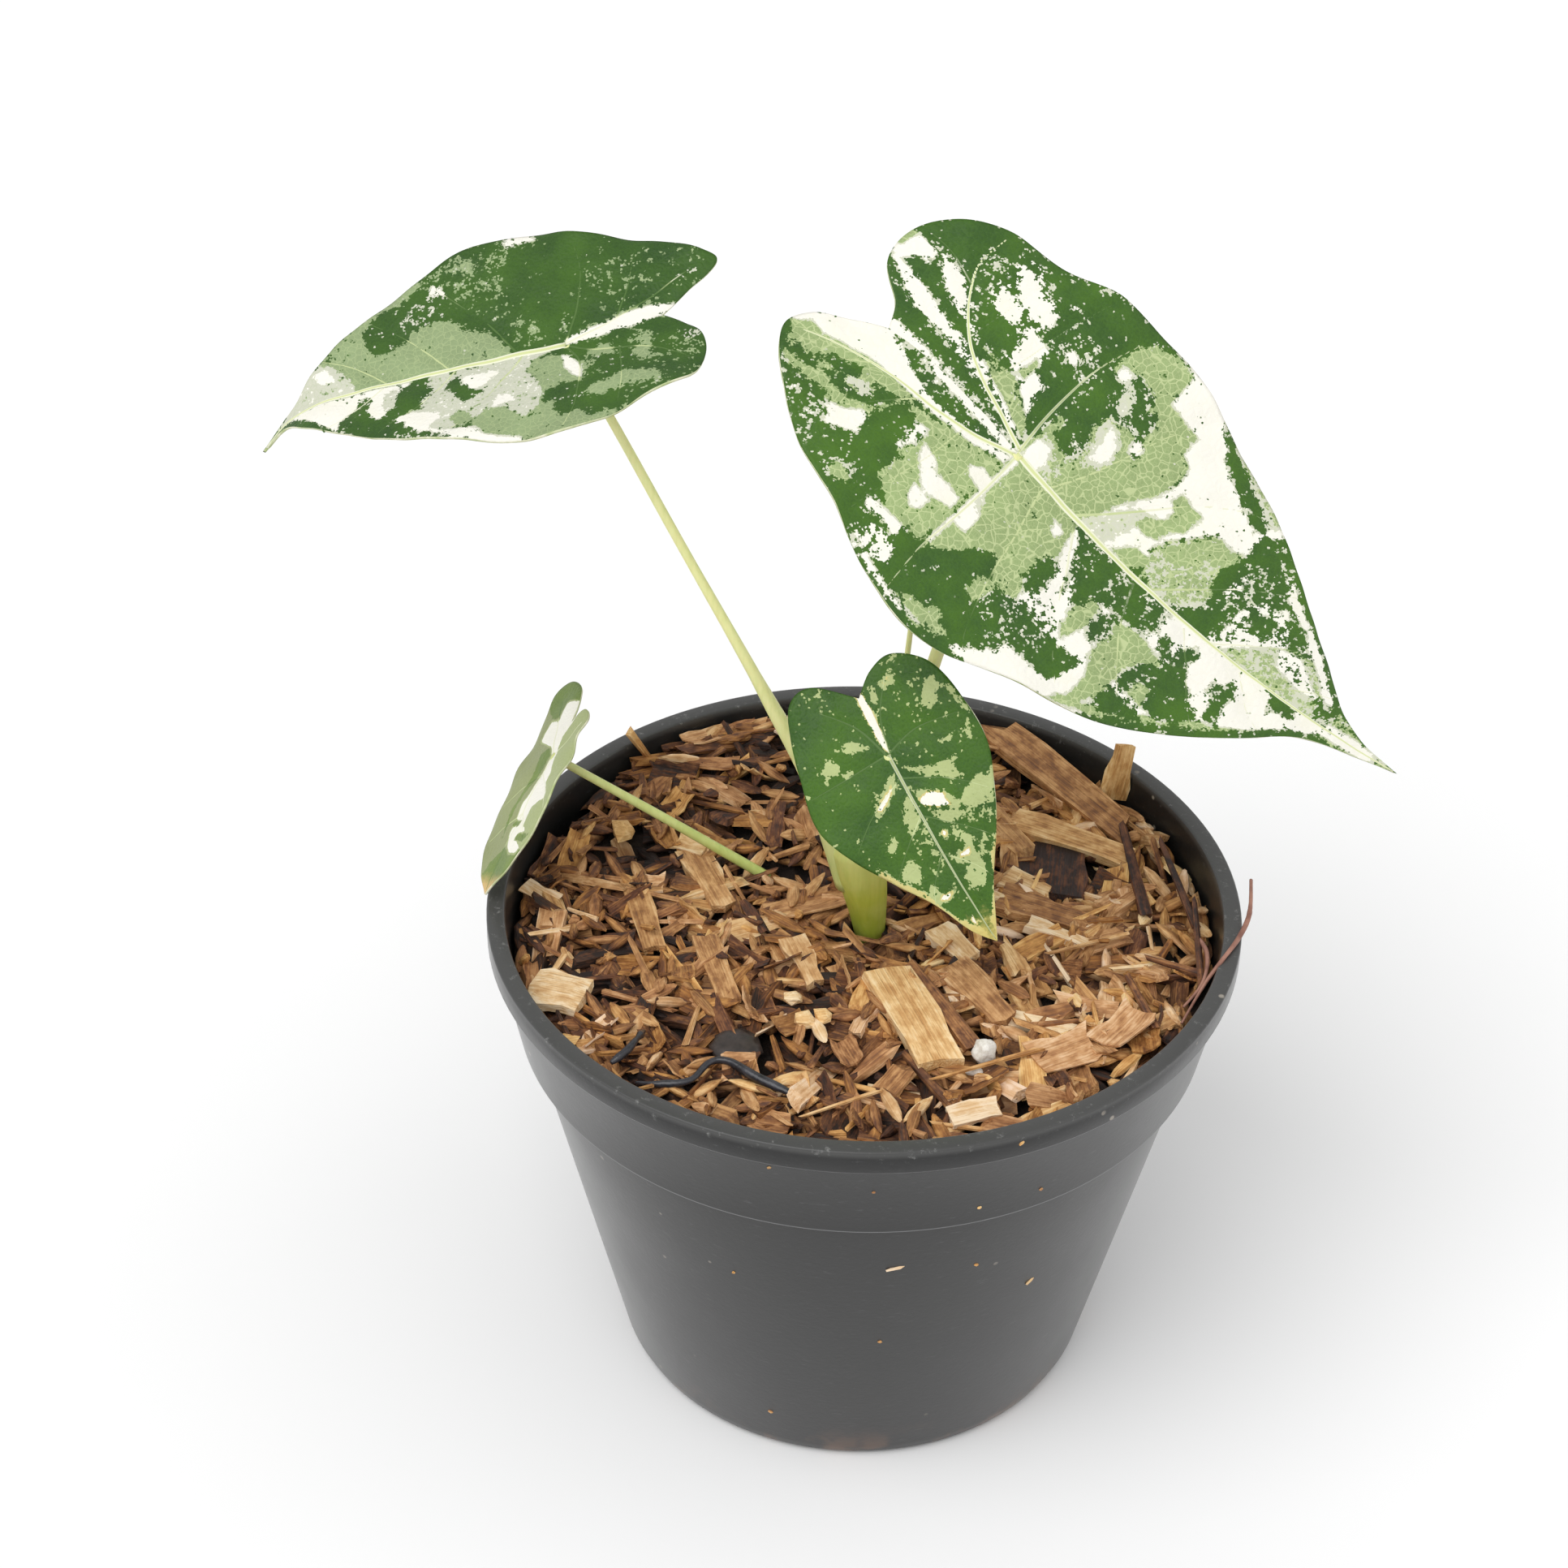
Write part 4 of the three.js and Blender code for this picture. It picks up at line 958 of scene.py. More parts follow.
# %% Vein lines, flat: width at the start and end, then places along and across
VEINS = {
    "large": [
        (1.5, 0.35, [(0, 0), (20, 0.2), (45, 0.4), (70, 0.3), (97, 0)]),
        (1.2, 0.3, [(0, -0.6), (-8, -4.3), (-16, -6.3), (-26, -7.3), (-36, -9), (-43, -11)]),
        (1.1, 0.3, [(0, 0.8), (-8, 2.9), (-15, 5), (-20, 7.6), (-24, 11), (-28, 16), (-31, 22), (-31, 29)]),
        (0.8, 0.2, [(0, 0.5), (-1.2, 8), (-1.8, 16), (-1.6, 24), (0.5, 34)]),
        (0.8, 0.2, [(0.4, -0.6), (1, -10), (1, -20), (0.8, -28), (2, -38)]),
        (0.55, 0.2, [(9, 0.6), (12, 8), (14.5, 17), (17, 26), (21, 34)]),
        (0.7, 0.2, [(16, 0.6), (21, 7), (26, 14), (31, 20.5), (38, 26), (43, 27)]),
        (0.55, 0.2, [(36, 0.6), (43, 8), (49, 14), (57, 19.5)]),
        (0.5, 0.2, [(52, 0.6), (59, 6.5), (67, 12)]),
        (0.4, 0.15, [(66, 0.4), (72, 4.5), (77, 6.5)]),
        (0.6, 0.2, [(8, -0.6), (11, -11), (13.5, -21), (17, -31), (20, -35.5)]),
        (0.7, 0.2, [(17, -0.6), (22, -8), (26, -15), (31, -22), (37, -28)]),
        (0.6, 0.2, [(33, -0.6), (37, -9), (43, -17), (49, -23.5)]),
        (0.5, 0.2, [(46, -0.6), (52, -7), (58, -14), (62, -17)]),
        (0.4, 0.15, [(60, -0.4), (66, -6), (71, -9)]),
        (0.5, 0.2, [(-19.5, -7), (-24, -13), (-28, -19), (-32, -25)]),
        (0.45, 0.2, [(-10, -5.2), (-10.5, -14), (-12, -24), (-13, -33)]),
        (0.4, 0.15, [(-30, -7.8), (-36, -13), (-40, -18)]),
        (0.45, 0.2, [(-14, 4.8), (-12, 14), (-11, 24), (-9, 34)]),
        (0.4, 0.15, [(-22, 9), (-21, 18), (-20, 28)]),
        (0.4, 0.15, [(-29, 17.5), (-35, 20), (-41, 21)]),
    ],
    "left": [
        (1.7, 0.4, [(0, 0), (20, -0.3), (40, -0.5), (61, 0)]),
        (0.5, 0.2, [(0, -0.4), (-3, -8), (-4.5, -16), (-4, -22)]),
        (0.5, 0.2, [(0, 0.3), (-2.3, 5), (-2.2, 11), (-1, 19), (1, 25)]),
        (0.55, 0.25, [(0, 0), (-6, 3), (-13, 4.2), (-18, 6.5), (-22, 9.5)]),
        (0.55, 0.25, [(0, -0.3), (-9, -3.6), (-16, -7), (-24, -12)]),
        (0.5, 0.2, [(9, -0.4), (14, -9), (21, -17), (24, -21)]),
        (0.45, 0.2, [(22, -0.4), (29, -9), (36, -15)]),
        (0.4, 0.2, [(34, -0.4), (40, -6), (46, -9)]),
        (0.5, 0.2, [(8, 0.2), (14, 9), (21, 17), (25, 19)]),
        (0.45, 0.2, [(21, 0.2), (28, 8), (36, 13)]),
        (0.4, 0.2, [(35, 0.2), (42, 6), (47, 8)]),
        (0.4, 0.2, [(-10, 3.8), (-10, 12), (-9, 20)]),
        (0.4, 0.2, [(-10, -4), (-13, -11), (-15, -19)]),
    ],
    "front": [
        (0.8, 0.2, [(0, 0), (14, 0.1), (28, 0), (40, 0)]),
        (0.6, 0.2, [(0, 0.3), (-7, 2), (-13, 6)]),
        (0.6, 0.2, [(0, -0.3), (-7, -3), (-13, -8)]),
        (0.45, 0.15, [(0, 0), (-2, 7), (-1, 16)]),
        (0.45, 0.15, [(0, 0), (0.5, -8), (1, -17)]),
        (0.4, 0.15, [(5, 0), (9, 8), (14, 14)]),
        (0.4, 0.15, [(13, 0), (18, 6), (22, 10)]),
        (0.35, 0.15, [(21, 0), (26, 4.5), (29, 6)]),
        (0.4, 0.15, [(5, 0), (9, -8), (14, -14)]),
        (0.4, 0.15, [(13, 0), (18, -6), (22, -10)]),
        (0.35, 0.15, [(21, 0), (26, -4.5), (29, -6)]),
    ],
    "small": [
        (0.7, 0.2, [(0, 0), (10, 0), (20, 0), (30, 0)]),
        (0.5, 0.15, [(0, 0), (-6, -5), (-13, -10)]),
        (0.4, 0.15, [(0, 0), (-4, 3), (-8, 5)]),
        (0.35, 0.15, [(4, 0), (8, 6), (12, 10)]),
        (0.35, 0.15, [(4, 0), (8, -6), (12, -10)]),
        (0.35, 0.15, [(13, 0), (17, 5), (20, 8)]),
        (0.35, 0.15, [(13, 0), (17, -5), (20, -8)]),
    ],
}
print("veins:", {name: len(lines) for name, lines in VEINS.items()})


# %% Distances on the flat leaf
FAR = 99.0  # where a distance starts, before the nearest part of a line is found


def line_distance(points, u, v):
    """Distance in mm from flat places to a line through points."""
    near = np.full(len(u), FAR)
    for (u0, v0), (u1, v1) in zip(points, points[1:]):
        run = np.array([u1 - u0, v1 - v0])
        t = np.clip(((u - u0) * run[0] + (v - v0) * run[1]) / max(run @ run, 1e-9), 0, 1)
        near = np.minimum(near, np.hypot(u - u0 - t * run[0], v - v0 - t * run[1]))
    return near


def vein_distance(name, u, v):
    """Distance in mm from flat places to the nearest vein of a leaf."""
    lines = [smooth_line(line, np.linspace(0, 1, 6 * len(line))) for _, _, line in VEINS[name]]
    return np.min([line_distance(line, u, v) for line in lines], axis=0)


def margin_distance(name, u, v):
    """Distance in mm from flat places to the margin of a leaf."""
    near = []
    for half, sign in HALVES.items():
        outline = smooth_line(LEAVES[name][half], np.linspace(0, 1, 90)) * (1, sign)
        near.append(line_distance(outline, u, v))
    return np.minimum(*near)


# %% [markdown]
# ### Where the leaf is green, mint or cream
# The marbling of a variegated leaf comes from cell layers that lost their green. Where the dark
# upper layer is missing the blade is mint, and where all of it is missing the blade is cream.
# Patches are drawn as outlines on the flat leaf, one over another, and each sets how likely it is
# that the dark layer or all green is missing. The finish later breaks their edges into fine spatter.

# %% Tones of the patches
TONES = {  # share without the dark layer, share without any green
    "dark": (0.07, 0.15), "deep": (0.07, 0.0), "speckled": (0.27, 0.0), "flecked": (0.25, 0.42),
    "mossy": (0.4, 0.0), "spattered": (0.37, 0.47), "frosted": (0.4, 0.95), "broken": (0.5, 0.15),
    "curdled": (0.6, 0.95), "mint": (0.93, 0.0), "lit_mint": (0.93, 0.3), "pale": (1.0, 0.52),
    "cream": (1.0, 1.02),
}
PATCHES = {}
print("tones:", ", ".join(TONES))

# %% Patches of the large leaf: tone, then places along and across
PATCHES["large"] = [
    # far side, the lobe
    ("flecked", [(-46, 22), (-38, 31), (-10, 38), (4, 40), (1, 30), (0, 0), (-34, 0), (-46, 10)]),
    ("dark", [(-44, 22), (-38, 29), (-28, 31), (-26, 26), (-31, 21), (-38, 20)]),
    ("dark", [(-26, 31.4), (-14, 34), (-3, 37), (2, 38.5), (0, 30), (-1, 25), (-4, 24), (-9, 29.5),
        (-16, 29)]),
    ("spattered", [(-20, 34.2), (-14, 35.6), (-6, 38), (-6.5, 36.4), (-13, 33.2), (-19, 31.8)]),
    ("spattered", [(-31, 27), (-27, 26), (-25, 21), (-27, 18), (-30, 21)]),
    ("frosted", [(-26, 28.5), (-22, 29.5), (-18, 26), (-14.5, 25), (-14, 20), (-16, 17), (-20, 16),
        (-24.5, 16.5), (-26, 22)]),
    ("flecked", [(-14.5, 25.5), (-10, 28.5), (-5, 28.5), (-2.5, 24), (-4, 19.5), (-9, 17.5), (-13, 20)]),
    ("frosted", [(-16, 19), (-9.6, 18), (-9, 13), (-5.6, 12.6), (-4.6, 6.4), (-9, 6.2), (-11, 10),
        (-15, 11)]),
    ("cream", [(-24.6, 27), (-21.5, 27), (-19, 24.6), (-14, 24.7), (-13.3, 22), (-15, 20.4), (-18, 22.4),
        (-21, 22), (-23.6, 23.6)]),
    ("cream", [(-23.6, 20.4), (-20, 20.6), (-19.2, 17), (-21, 16.2), (-23.4, 18)]),
    ("cream", [(-15.6, 19), (-12, 18.6), (-10.6, 17), (-10.4, 13), (-11.4, 10.4), (-13, 11.4),
        (-14.6, 15)]),
    ("cream", [(-7.6, 22), (-5.2, 21.2), (-5.6, 19.6), (-7.4, 20.4)]),
    ("cream", [(-8.6, 13), (-6.6, 11.6), (-5.6, 7), (-8, 6.8), (-9.4, 9.6)]),
    ("mint", [(-10.8, 15.6), (-9.4, 15), (-9.4, 10.6), (-11.4, 10.4)]),
    ("dark", [(-9.4, 18.6), (-4.2, 18.2), (-0.8, 18), (-0.8, 6), (-3, 5), (-4.8, 8.6), (-6, 13.4),
        (-9, 14)]),
    ("dark", [(-21, 16.4), (-16.4, 16.4), (-15, 12), (-16.5, 9.6), (-20, 11), (-21, 14)]),
    ("broken", [(-22, 10.4), (-14, 9.8), (-9.6, 9.6), (-5, 6.4), (-2, 4.6), (-2, 3), (-8, 4), (-16, 7)]),
    ("mint", [(-14.6, 8.6), (-11, 9.6), (-9.4, 6.6), (-4.6, 5.8), (-1.4, 2.8), (-8, 3.6), (-13, 5)]),
    ("curdled", [(-37, 18.8), (-31, 17.8), (-25.6, 13.4), (-20, 9.4), (-26, 10.8), (-33, 14.6)]),
    ("dark", [(-41, 14.6), (-34, 14), (-27, 10.4), (-19, 8), (-27, 8.4), (-35, 11.4), (-40, 12.8)]),
    ("cream", [(-44, 19.4), (-40.5, 19), (-37.4, 18), (-37.6, 16.2), (-40, 15), (-42, 13), (-44.6, 15)]),
    ("mint", [(-44.8, 20), (-42.6, 19.6), (-43, 16), (-45.4, 15)]),
    ("cream", [(-35.6, 17.6), (-31.6, 17), (-27.6, 13.4), (-29, 12.8), (-33, 15.4)]),
    ("cream", [(-42.6, 12.8), (-38, 12.2), (-33.5, 10.6), (-27, 8.6), (-22, 7.4), (-27, 6.2), (-33, 6.8),
        (-38, 9.6)]),
    ("curdled", [(-26, 8.6), (-16, 7), (-9, 5), (-2, 2.4), (-9, 2.6), (-16, 4), (-26, 6)]),
    ("dark", [(-40, 8.4), (-33, 5.8), (-24, 4), (-18, 3.6), (-33, 1.8), (-38, 4.6)]),
    # far side, next to the stalk
    ("mint", [(0, 0), (0, 33), (3, 37), (6, 37.6), (11.5, 37.4), (12.3, 30), (20.8, 29.8), (21, 25),
        (24, 24), (24.6, 20), (24, 15.7), (22.5, 12.6), (20.6, 9.5), (19, 5), (17, 0)]),
    ("dark", [(-3, 37), (0, 39.4), (5.4, 39.6), (6.6, 38), (4.4, 37), (2, 36), (0.4, 33), (0, 30),
        (-2, 30)]),
    ("flecked", [(4, 29.2), (9.8, 28.4), (10.4, 24.6), (12, 26.8), (13.8, 24.4), (13.8, 20.4), (10, 19.8),
        (8.6, 18.8), (0.2, 19.4), (0.2, 25.6), (3.8, 25.4)]),
    ("pale", [(4.6, 26.8), (6.4, 26), (8, 23.4), (8.4, 20.6), (6.4, 20.2), (5, 22.6)]),
    ("cream", [(1, 27.8), (4, 28.4), (3.8, 25.4), (1.2, 25.4)]),
    ("dark", [(0.2, 24.8), (4.4, 24.6), (4.8, 21.6), (8, 19.6), (6.6, 17.8), (6.2, 14.8), (7.6, 12.4),
        (7.8, 8), (5, 7.2), (2, 7.6), (1.4, 11), (0.2, 12)]),
    ("spattered", [(4.4, 11), (7.8, 11.6), (8.4, 7.4), (4.6, 6.6)]),
    ("pale", [(6.4, 18.4), (9, 18.4), (12.4, 16.8), (13.2, 13), (12.4, 10), (9.4, 8), (8.2, 12.4),
        (6.4, 15)]),
    ("cream", [(8, 17.4), (11.6, 16.2), (12.4, 13), (11.4, 11), (9.6, 10.4), (9.4, 14)]),
    ("lit_mint", [(0.6, 7), (5, 6.4), (8.4, 7), (9, 1), (1, 0.4)]),
    ("cream", [(0.6, 5.2), (3.4, 5.6), (5.2, 2.6), (4.8, 0.4), (0.6, 0.4)]),
    ("curdled", [(12.6, 21), (15.6, 20), (15.6, 16.6), (13.2, 17.4)]),
    ("cream", [(5, 38.6), (12, 41), (20, 39.6), (30, 36.6), (44, 29.6), (48, 27), (44, 24.5), (44, 19),
        (41, 17.8), (37, 17.8), (35, 16), (33.5, 13), (31, 10), (30, 7), (31.4, 4.4), (30, 0), (18, 0),
        (19, 5), (20.6, 9.5), (22.5, 12.6), (24, 15.7), (24.6, 20), (24, 24), (21, 25), (20.8, 29.8),
        (12.3, 30), (11.5, 37.2)]),
    ("pale", [(16.6, 0), (19.6, 6), (22.6, 11), (25.4, 12), (25, 6), (24, 0)]),
    ("mint", [(26.8, 19.2), (29, 19), (32.6, 18.8), (32.4, 13.6), (30.8, 12), (29.6, 8.4), (27, 7.6),
        (25, 8), (25.2, 11), (28, 13), (28, 15.4), (26, 17)]),
    ("lit_mint", [(30.6, 8), (31, 5), (33, 2), (38, 0.4), (46, 1), (45, 8), (43, 10), (42, 14),
        (43.8, 17.8), (38.4, 18.2), (36, 15.8), (34.4, 12.4), (32, 10)]),
    ("mint", [(38, 17.6), (43, 17), (42, 14), (38.4, 13), (37.6, 9), (34, 7), (32, 9), (35, 13)]),
    ("mint", [(24.8, 1), (28, 4.8), (31.6, 4.8), (31.4, 0.4)]),
    # far side, the outer half
    ("spattered", [(21, 36.6), (25, 36), (29, 34.4), (33, 31.8), (37, 30.2), (43.6, 26.4), (42, 23),
        (38, 24.4), (35, 26.4), (31, 28), (27, 30), (26, 32.6), (23, 34.4)]),
    ("dark", [(22, 35.8), (27, 34), (32, 31.6), (36, 29.4), (41, 26.6), (39.6, 25.2), (34, 28.2),
        (29, 30.4), (26, 33.4)]),
    ("lit_mint", [(26, 35.4), (34, 32.8), (40, 30), (45, 28), (44, 26.6), (38, 29.2), (32, 32),
        (28, 33.8)]),
    ("dark", [(43.6, 23.4), (46, 24.8), (49.4, 24), (50, 20), (47, 17), (44.4, 17.2), (43.4, 20)]),
    ("flecked", [(45, 28), (52, 24.8), (58, 21.4), (62, 18), (66, 15), (70, 11), (66, 10.6), (60, 13),
        (55, 13.4), (50, 16), (49, 22)]),
    ("cream", [(49.6, 22), (54, 21.4), (59, 18.6), (65, 14.8), (60, 16), (54, 19.2), (50, 20.6)]),
    ("curdled", [(45.4, 16.4), (50, 17), (54, 14), (60, 13), (63, 10), (61, 4), (56, 0.6), (51, 0.6),
        (48, 4), (46.6, 9)]),
    ("spattered", [(44, 17), (46, 24), (52, 22), (56, 18), (54, 14), (48, 13)]),
    ("dark", [(43.6, 21), (45, 24), (48.6, 23.6), (49, 20.6), (46.6, 18)]),
    ("spattered", [(41, 1), (44, 4.4), (46, 8.4), (49, 12.4), (51.4, 16), (53, 13), (51, 9), (52, 5),
        (51, 1)]),
    ("dark", [(41.6, 0), (45, 3.4), (48.6, 7.6), (50, 7), (49, 3), (50, 0)]),
    ("flecked", [(52, 11), (55.6, 13), (59.4, 12), (58, 9), (55, 7), (53, 8)]),
    ("cream", [(57, 15.6), (58.8, 15.2), (58.2, 13.2), (56.6, 13.8)]),
    ("lit_mint", [(53, 0.4), (64, 0), (76, 0), (80, 1.6), (77, 5.6), (72, 9), (68, 10), (62, 9),
        (58, 5.6)]),
    ("curdled", [(62, 8.6), (66, 9.6), (72, 6), (76, 4), (70, 4), (64, 5)]),
    ("cream", [(63, 17), (68, 13.6), (74, 8.8), (79, 5.2), (76, 4.8), (71, 9), (65, 13.4)]),
    ("dark", [(60, 20.6), (66, 17), (71, 13.2), (76, 8.8), (81, 5), (79, 4.4), (73.6, 9.6), (68.4, 13.6),
        (61, 18.6)]),
    ("flecked", [(75, 4.8), (81, 3.4), (80, 0.4), (76, 1.4)]),
    # the tip
    ("broken", [(80, 5), (88, 2.8), (99, 0), (88, -2.4), (80, -2.8)]),
    ("cream", [(80, 1.4), (88, 1.6), (97, 0.2), (90, -1.4), (80, -1.4)]),
    # near side, the outer half
    ("cream", [(18, 0), (80, 0), (80, -2), (72, -8), (60, -19), (46, -28), (24, -37), (18, -37)]),
    ("mint", [(54, -19), (58, -15), (63, -13.8), (70, -9), (73, -6.4), (66, -15), (58, -21), (50, -25.6),
        (44, -28), (37, -31), (38, -28.4), (44, -26), (50, -22.6)]),
    ("dark", [(74, -5), (80, -2), (72, -10.6), (62, -18.8), (50, -26), (43, -29), (50, -24.4), (59, -17.6),
        (66, -12.6)]),
    ("flecked", [(57, -5), (59, -5.4), (60.2, -2.6), (62.8, -5.6), (62.6, -9), (64, -13.8), (60.8, -13.4),
        (59.4, -9), (57.4, -8.4)]),
    ("flecked", [(67.6, 0), (72, 0), (74.6, -1.2), (73.8, -3), (70.4, -3.4), (69, -5.6), (68, -2)]),
    ("flecked", [(43.6, -3.2), (46.6, -5), (48.4, -7.2), (49.2, -2.6), (50.6, -1.4), (52.4, -3.2),
        (52.2, -6), (53.4, -8.6), (55.6, -10), (57.8, -12.8), (61, -14.4), (58, -17), (55.4, -20),
        (50.6, -19.8), (47, -19.4), (43.6, -18.8), (43.4, -14), (45, -11), (46.6, -9.6), (43.8, -6)]),
    ("dark", [(48.6, -9.6), (52.6, -9.8), (56, -13.6), (57.4, -15.6), (53.4, -18.8), (50.6, -15)]),
    ("mint", [(46.8, -16), (49.6, -15.6), (50.8, -19.6), (47.4, -19)]),
    ("dark", [(43, -19.6), (46, -20.4), (50, -20.6), (52.4, -21.8), (48, -25), (43.4, -26), (42.8, -23)]),
    ("mint", [(35.4, -10), (38, -7.8), (41.4, -8), (46, -9), (48, -10.4), (44.6, -12.4), (43.4, -16),
        (43.6, -19), (43, -24), (42, -28), (39.4, -28), (39, -22), (36.6, -18), (36, -14)]),
    ("mint", [(28.2, -8.6), (31.8, -9.2), (32.6, -14), (31, -20), (29.2, -18), (28, -14)]),
    ("spattered", [(19, 0), (43, 0), (44, -4), (41.4, -8), (38, -8.4), (34, -9), (31, -9.4), (28.6, -9),
        (27.8, -13.4), (25, -10), (22, -4)]),
    ("dark", [(25, -1), (29.6, -1), (30, -8), (27.8, -13), (25.8, -9.4)]),
    ("flecked", [(30.6, -1), (40, -1), (43, -4.4), (39.6, -7.4), (36, -6), (32, -7)]),
    ("flecked", [(32.4, -9.6), (36, -9), (37.4, -13), (35, -17), (32.8, -16.4), (32.2, -13)]),
    ("cream", [(42, -1), (44.6, -3), (44, -5.4), (42.6, -4)]),
    ("dark", [(17.2, -9), (19.8, -8), (21.2, -10), (22, -14), (21.6, -18), (19.2, -18.4), (17, -14)]),
    ("dark", [(17.6, 0), (20.6, -4), (22.6, -8), (24.6, -13.4), (25, -12), (23, -6), (21.4, -1)]),
    ("curdled", [(20.4, -17), (25, -15), (28.4, -18), (31, -20.6), (30, -24), (24, -23), (20.6, -20)]),
    ("flecked", [(21.6, -20), (28, -21.4), (34, -20.6), (36.8, -20.6), (35.8, -26), (34.4, -28.4),
        (22, -29), (20, -24)]),
    ("dark", [(29.6, -21.6), (36, -21), (35.4, -26), (34, -27.8), (30, -27)]),
    # near side, next to the stalk
    ("mint", [(1, 0), (16.5, 0), (18.2, -3), (19.5, -8), (17.4, -10), (17.2, -16), (19.4, -18.6), (20, -21),
        (16, -21.5), (13.5, -21), (11, -18), (8, -20), (4, -25), (1, -28)]),
    ("pale", [(1.2, -9), (3.4, -13), (4.6, -18), (2, -20), (1, -16)]),
    ("cream", [(1.2, -14), (4, -14.6), (4.2, -19), (1.4, -19)]),
    ("cream", [(14, -3.4), (16.8, -3.8), (16.4, -6), (14.6, -5.4)]),
    ("dark", [(8, -19), (12, -18), (13.5, -21.5), (12, -23), (11.5, -27), (15, -27.5), (18, -23.5),
        (20, -23), (23, -27), (23, -29.5), (21.5, -32), (20, -35), (16, -35.5), (12, -33.5), (9, -35),
        (6, -36.5), (3.5, -35), (2.5, -30), (4, -26), (7, -23)]),
    ("spattered", [(14.6, -24), (20, -20.6), (24.6, -26), (24, -31), (20.6, -35), (16, -34), (15, -28)]),
    ("dark", [(15.4, -29), (20, -27.6), (21.6, -31), (19, -34.6), (16, -34)]),
    ("mint", [(12, -23), (14, -21.5), (15.5, -24), (14.5, -27), (12, -27)]),
    ("mint", [(4, -37), (9, -35.5), (11.5, -33), (13, -35), (16, -36), (14, -37.5), (8, -38.3)]),
    ("mint", [(-46, -9), (-41, -20), (-34, -19), (-27, -19.5), (-24, -17), (-20, -8), (-30, -7),
        (-38, -8)]),
    ("mint", [(-20, -9), (-14, -7.5), (-6, -5.5), (0, -3.5), (0, -27.5), (-4, -28.5), (-8, -28.5),
        (-12, -25.5), (-15, -24), (-14, -20), (-15.5, -15)]),
    ("flecked", [(-19.5, -14), (-17.5, -10.5), (-15.5, -14), (-15.5, -18), (-14, -21), (-16, -25),
        (-10, -28), (-11, -30.5), (-8, -36), (0, -40.5), (-14, -37), (-31, -31), (-42, -21), (-38, -20),
        (-30, -20.5), (-28, -25), (-22, -22), (-20, -18)]),
    ("spattered", [(-44, -17), (-38, -20), (-30, -21), (-28, -25.6), (-23, -28), (-15, -27), (-13, -32),
        (-22, -32), (-33, -30)]),
    ("dark", [(-20, -16), (-17.6, -11), (-16, -18), (-14.5, -21), (-16, -24.6), (-22, -24), (-27, -26),
        (-22, -20)]),
    ("flecked", [(-28, -25), (-20, -24), (-12, -27), (-10, -28.4), (-16, -29), (-27, -28)]),
    ("dark", [(-16, -30), (-11, -31), (-9, -35), (-14, -36), (-28, -31), (-22, -31.6)]),
    ("dark", [(-42, -14.5), (-37, -14.5), (-36, -16), (-39, -17.3), (-42, -16.5)]),
    ("broken", [(-37, -12), (-31, -10.6), (-27, -12), (-24, -10), (-21, -10.6), (-25, -15.5), (-29, -16.5),
        (-34, -16), (-33, -14.5), (-36, -13.5)]),
    ("dark", [(-36, -12), (-31, -10.8), (-31, -12.4), (-34, -14), (-37, -13.5)]),
    ("dark", [(-27, -12), (-22, -10), (-24, -15), (-28, -16.5), (-34, -16), (-34, -15), (-28, -15)]),
    ("pale", [(-31, -13.2), (-28, -12), (-25.5, -13.4), (-28, -14.6), (-31, -14.3)]),
    ("cream", [(-30, -20), (-27, -19), (-24.5, -16.5), (-23, -18), (-22.5, -21), (-26, -23.5), (-28, -24),
        (-29, -22)]),
    ("mint", [(-20.5, -28), (-17, -29), (-17, -30.5), (-20, -31.5), (-21, -30)]),
    ("cream", [(-4.4, -9.4), (-2, -7.4), (1, -7.6), (0.8, -11), (-3, -11)]),
    ("cream", [(-12.8, -13), (-9.6, -13.4), (-7, -15.6), (-1, -15.4), (-0.6, -18), (-4, -19.4), (-6, -20),
        (-8.6, -19), (-10, -17), (-12, -15.6)]),
    ("curdled", [(-16.6, -11), (-14, -10.6), (-13.6, -15), (-16, -15.6)]),
    ("cream", [(-8.5, -20.3), (-4.5, -20.5), (-4.5, -23), (-6, -24.5), (-8, -23)]),
    ("cream", [(-16.4, -17.5), (-15.5, -15), (-14.4, -14.5), (-15, -17.5)]),
    ("cream", [(-12.5, -29), (-8, -28.3), (-3, -28), (-3.5, -31), (-8, -30), (-11, -31)]),
    ("dark", [(-4, -28.5), (0, -28), (2.5, -30), (4, -36), (4, -38.5), (-1, -38), (-3, -35), (0, -32),
        (-4, -31)]),
    ("curdled", [(-10, -31.6), (-2, -31.6), (-1.5, -36), (-4, -36.8), (-9, -36)]),
    ("cream", [(-9, -36.2), (-5, -37), (4, -38.8), (12, -38.5), (4, -40), (-4, -38.6)]),
    ("flecked", [(-4, -39.6), (2, -39.6), (12, -40.2), (4, -41.2)]),
    ("cream", [(-34, -0.4), (-28, -1), (-24, -4), (-18, -5.4), (-8, -4.3), (0, -1.6), (-0.5, -3.6),
        (-8, -6), (-15, -7.3), (-22, -7.6), (-30, -7.2), (-38, -8.7), (-42, -9.3), (-47, -10), (-46, -6),
        (-40, -3)]),
    ("flecked", [(-31, -1), (-20, -1.6), (-10, -1.9), (-2, -1), (-5, -3), (-12, -4.6), (-18, -5),
        (-24, -3.6)]),
    ("mint", [(-44, -8), (-41, -9), (-40, -11), (-45, -11)]),
    # seams on the midline
    ("cream", [(-34, 2.2), (-24, 1), (-14, 0.7), (0, 0.9), (0, -1.3), (-10, -1.7), (-20, -1.4), (-28, -0.7),
        (-34, 0.3)]),
    ("cream", [(0.4, -1), (1.4, -1), (1.3, -26), (0.5, -26)]),
]
print("patches of the large leaf:", len(PATCHES["large"]))

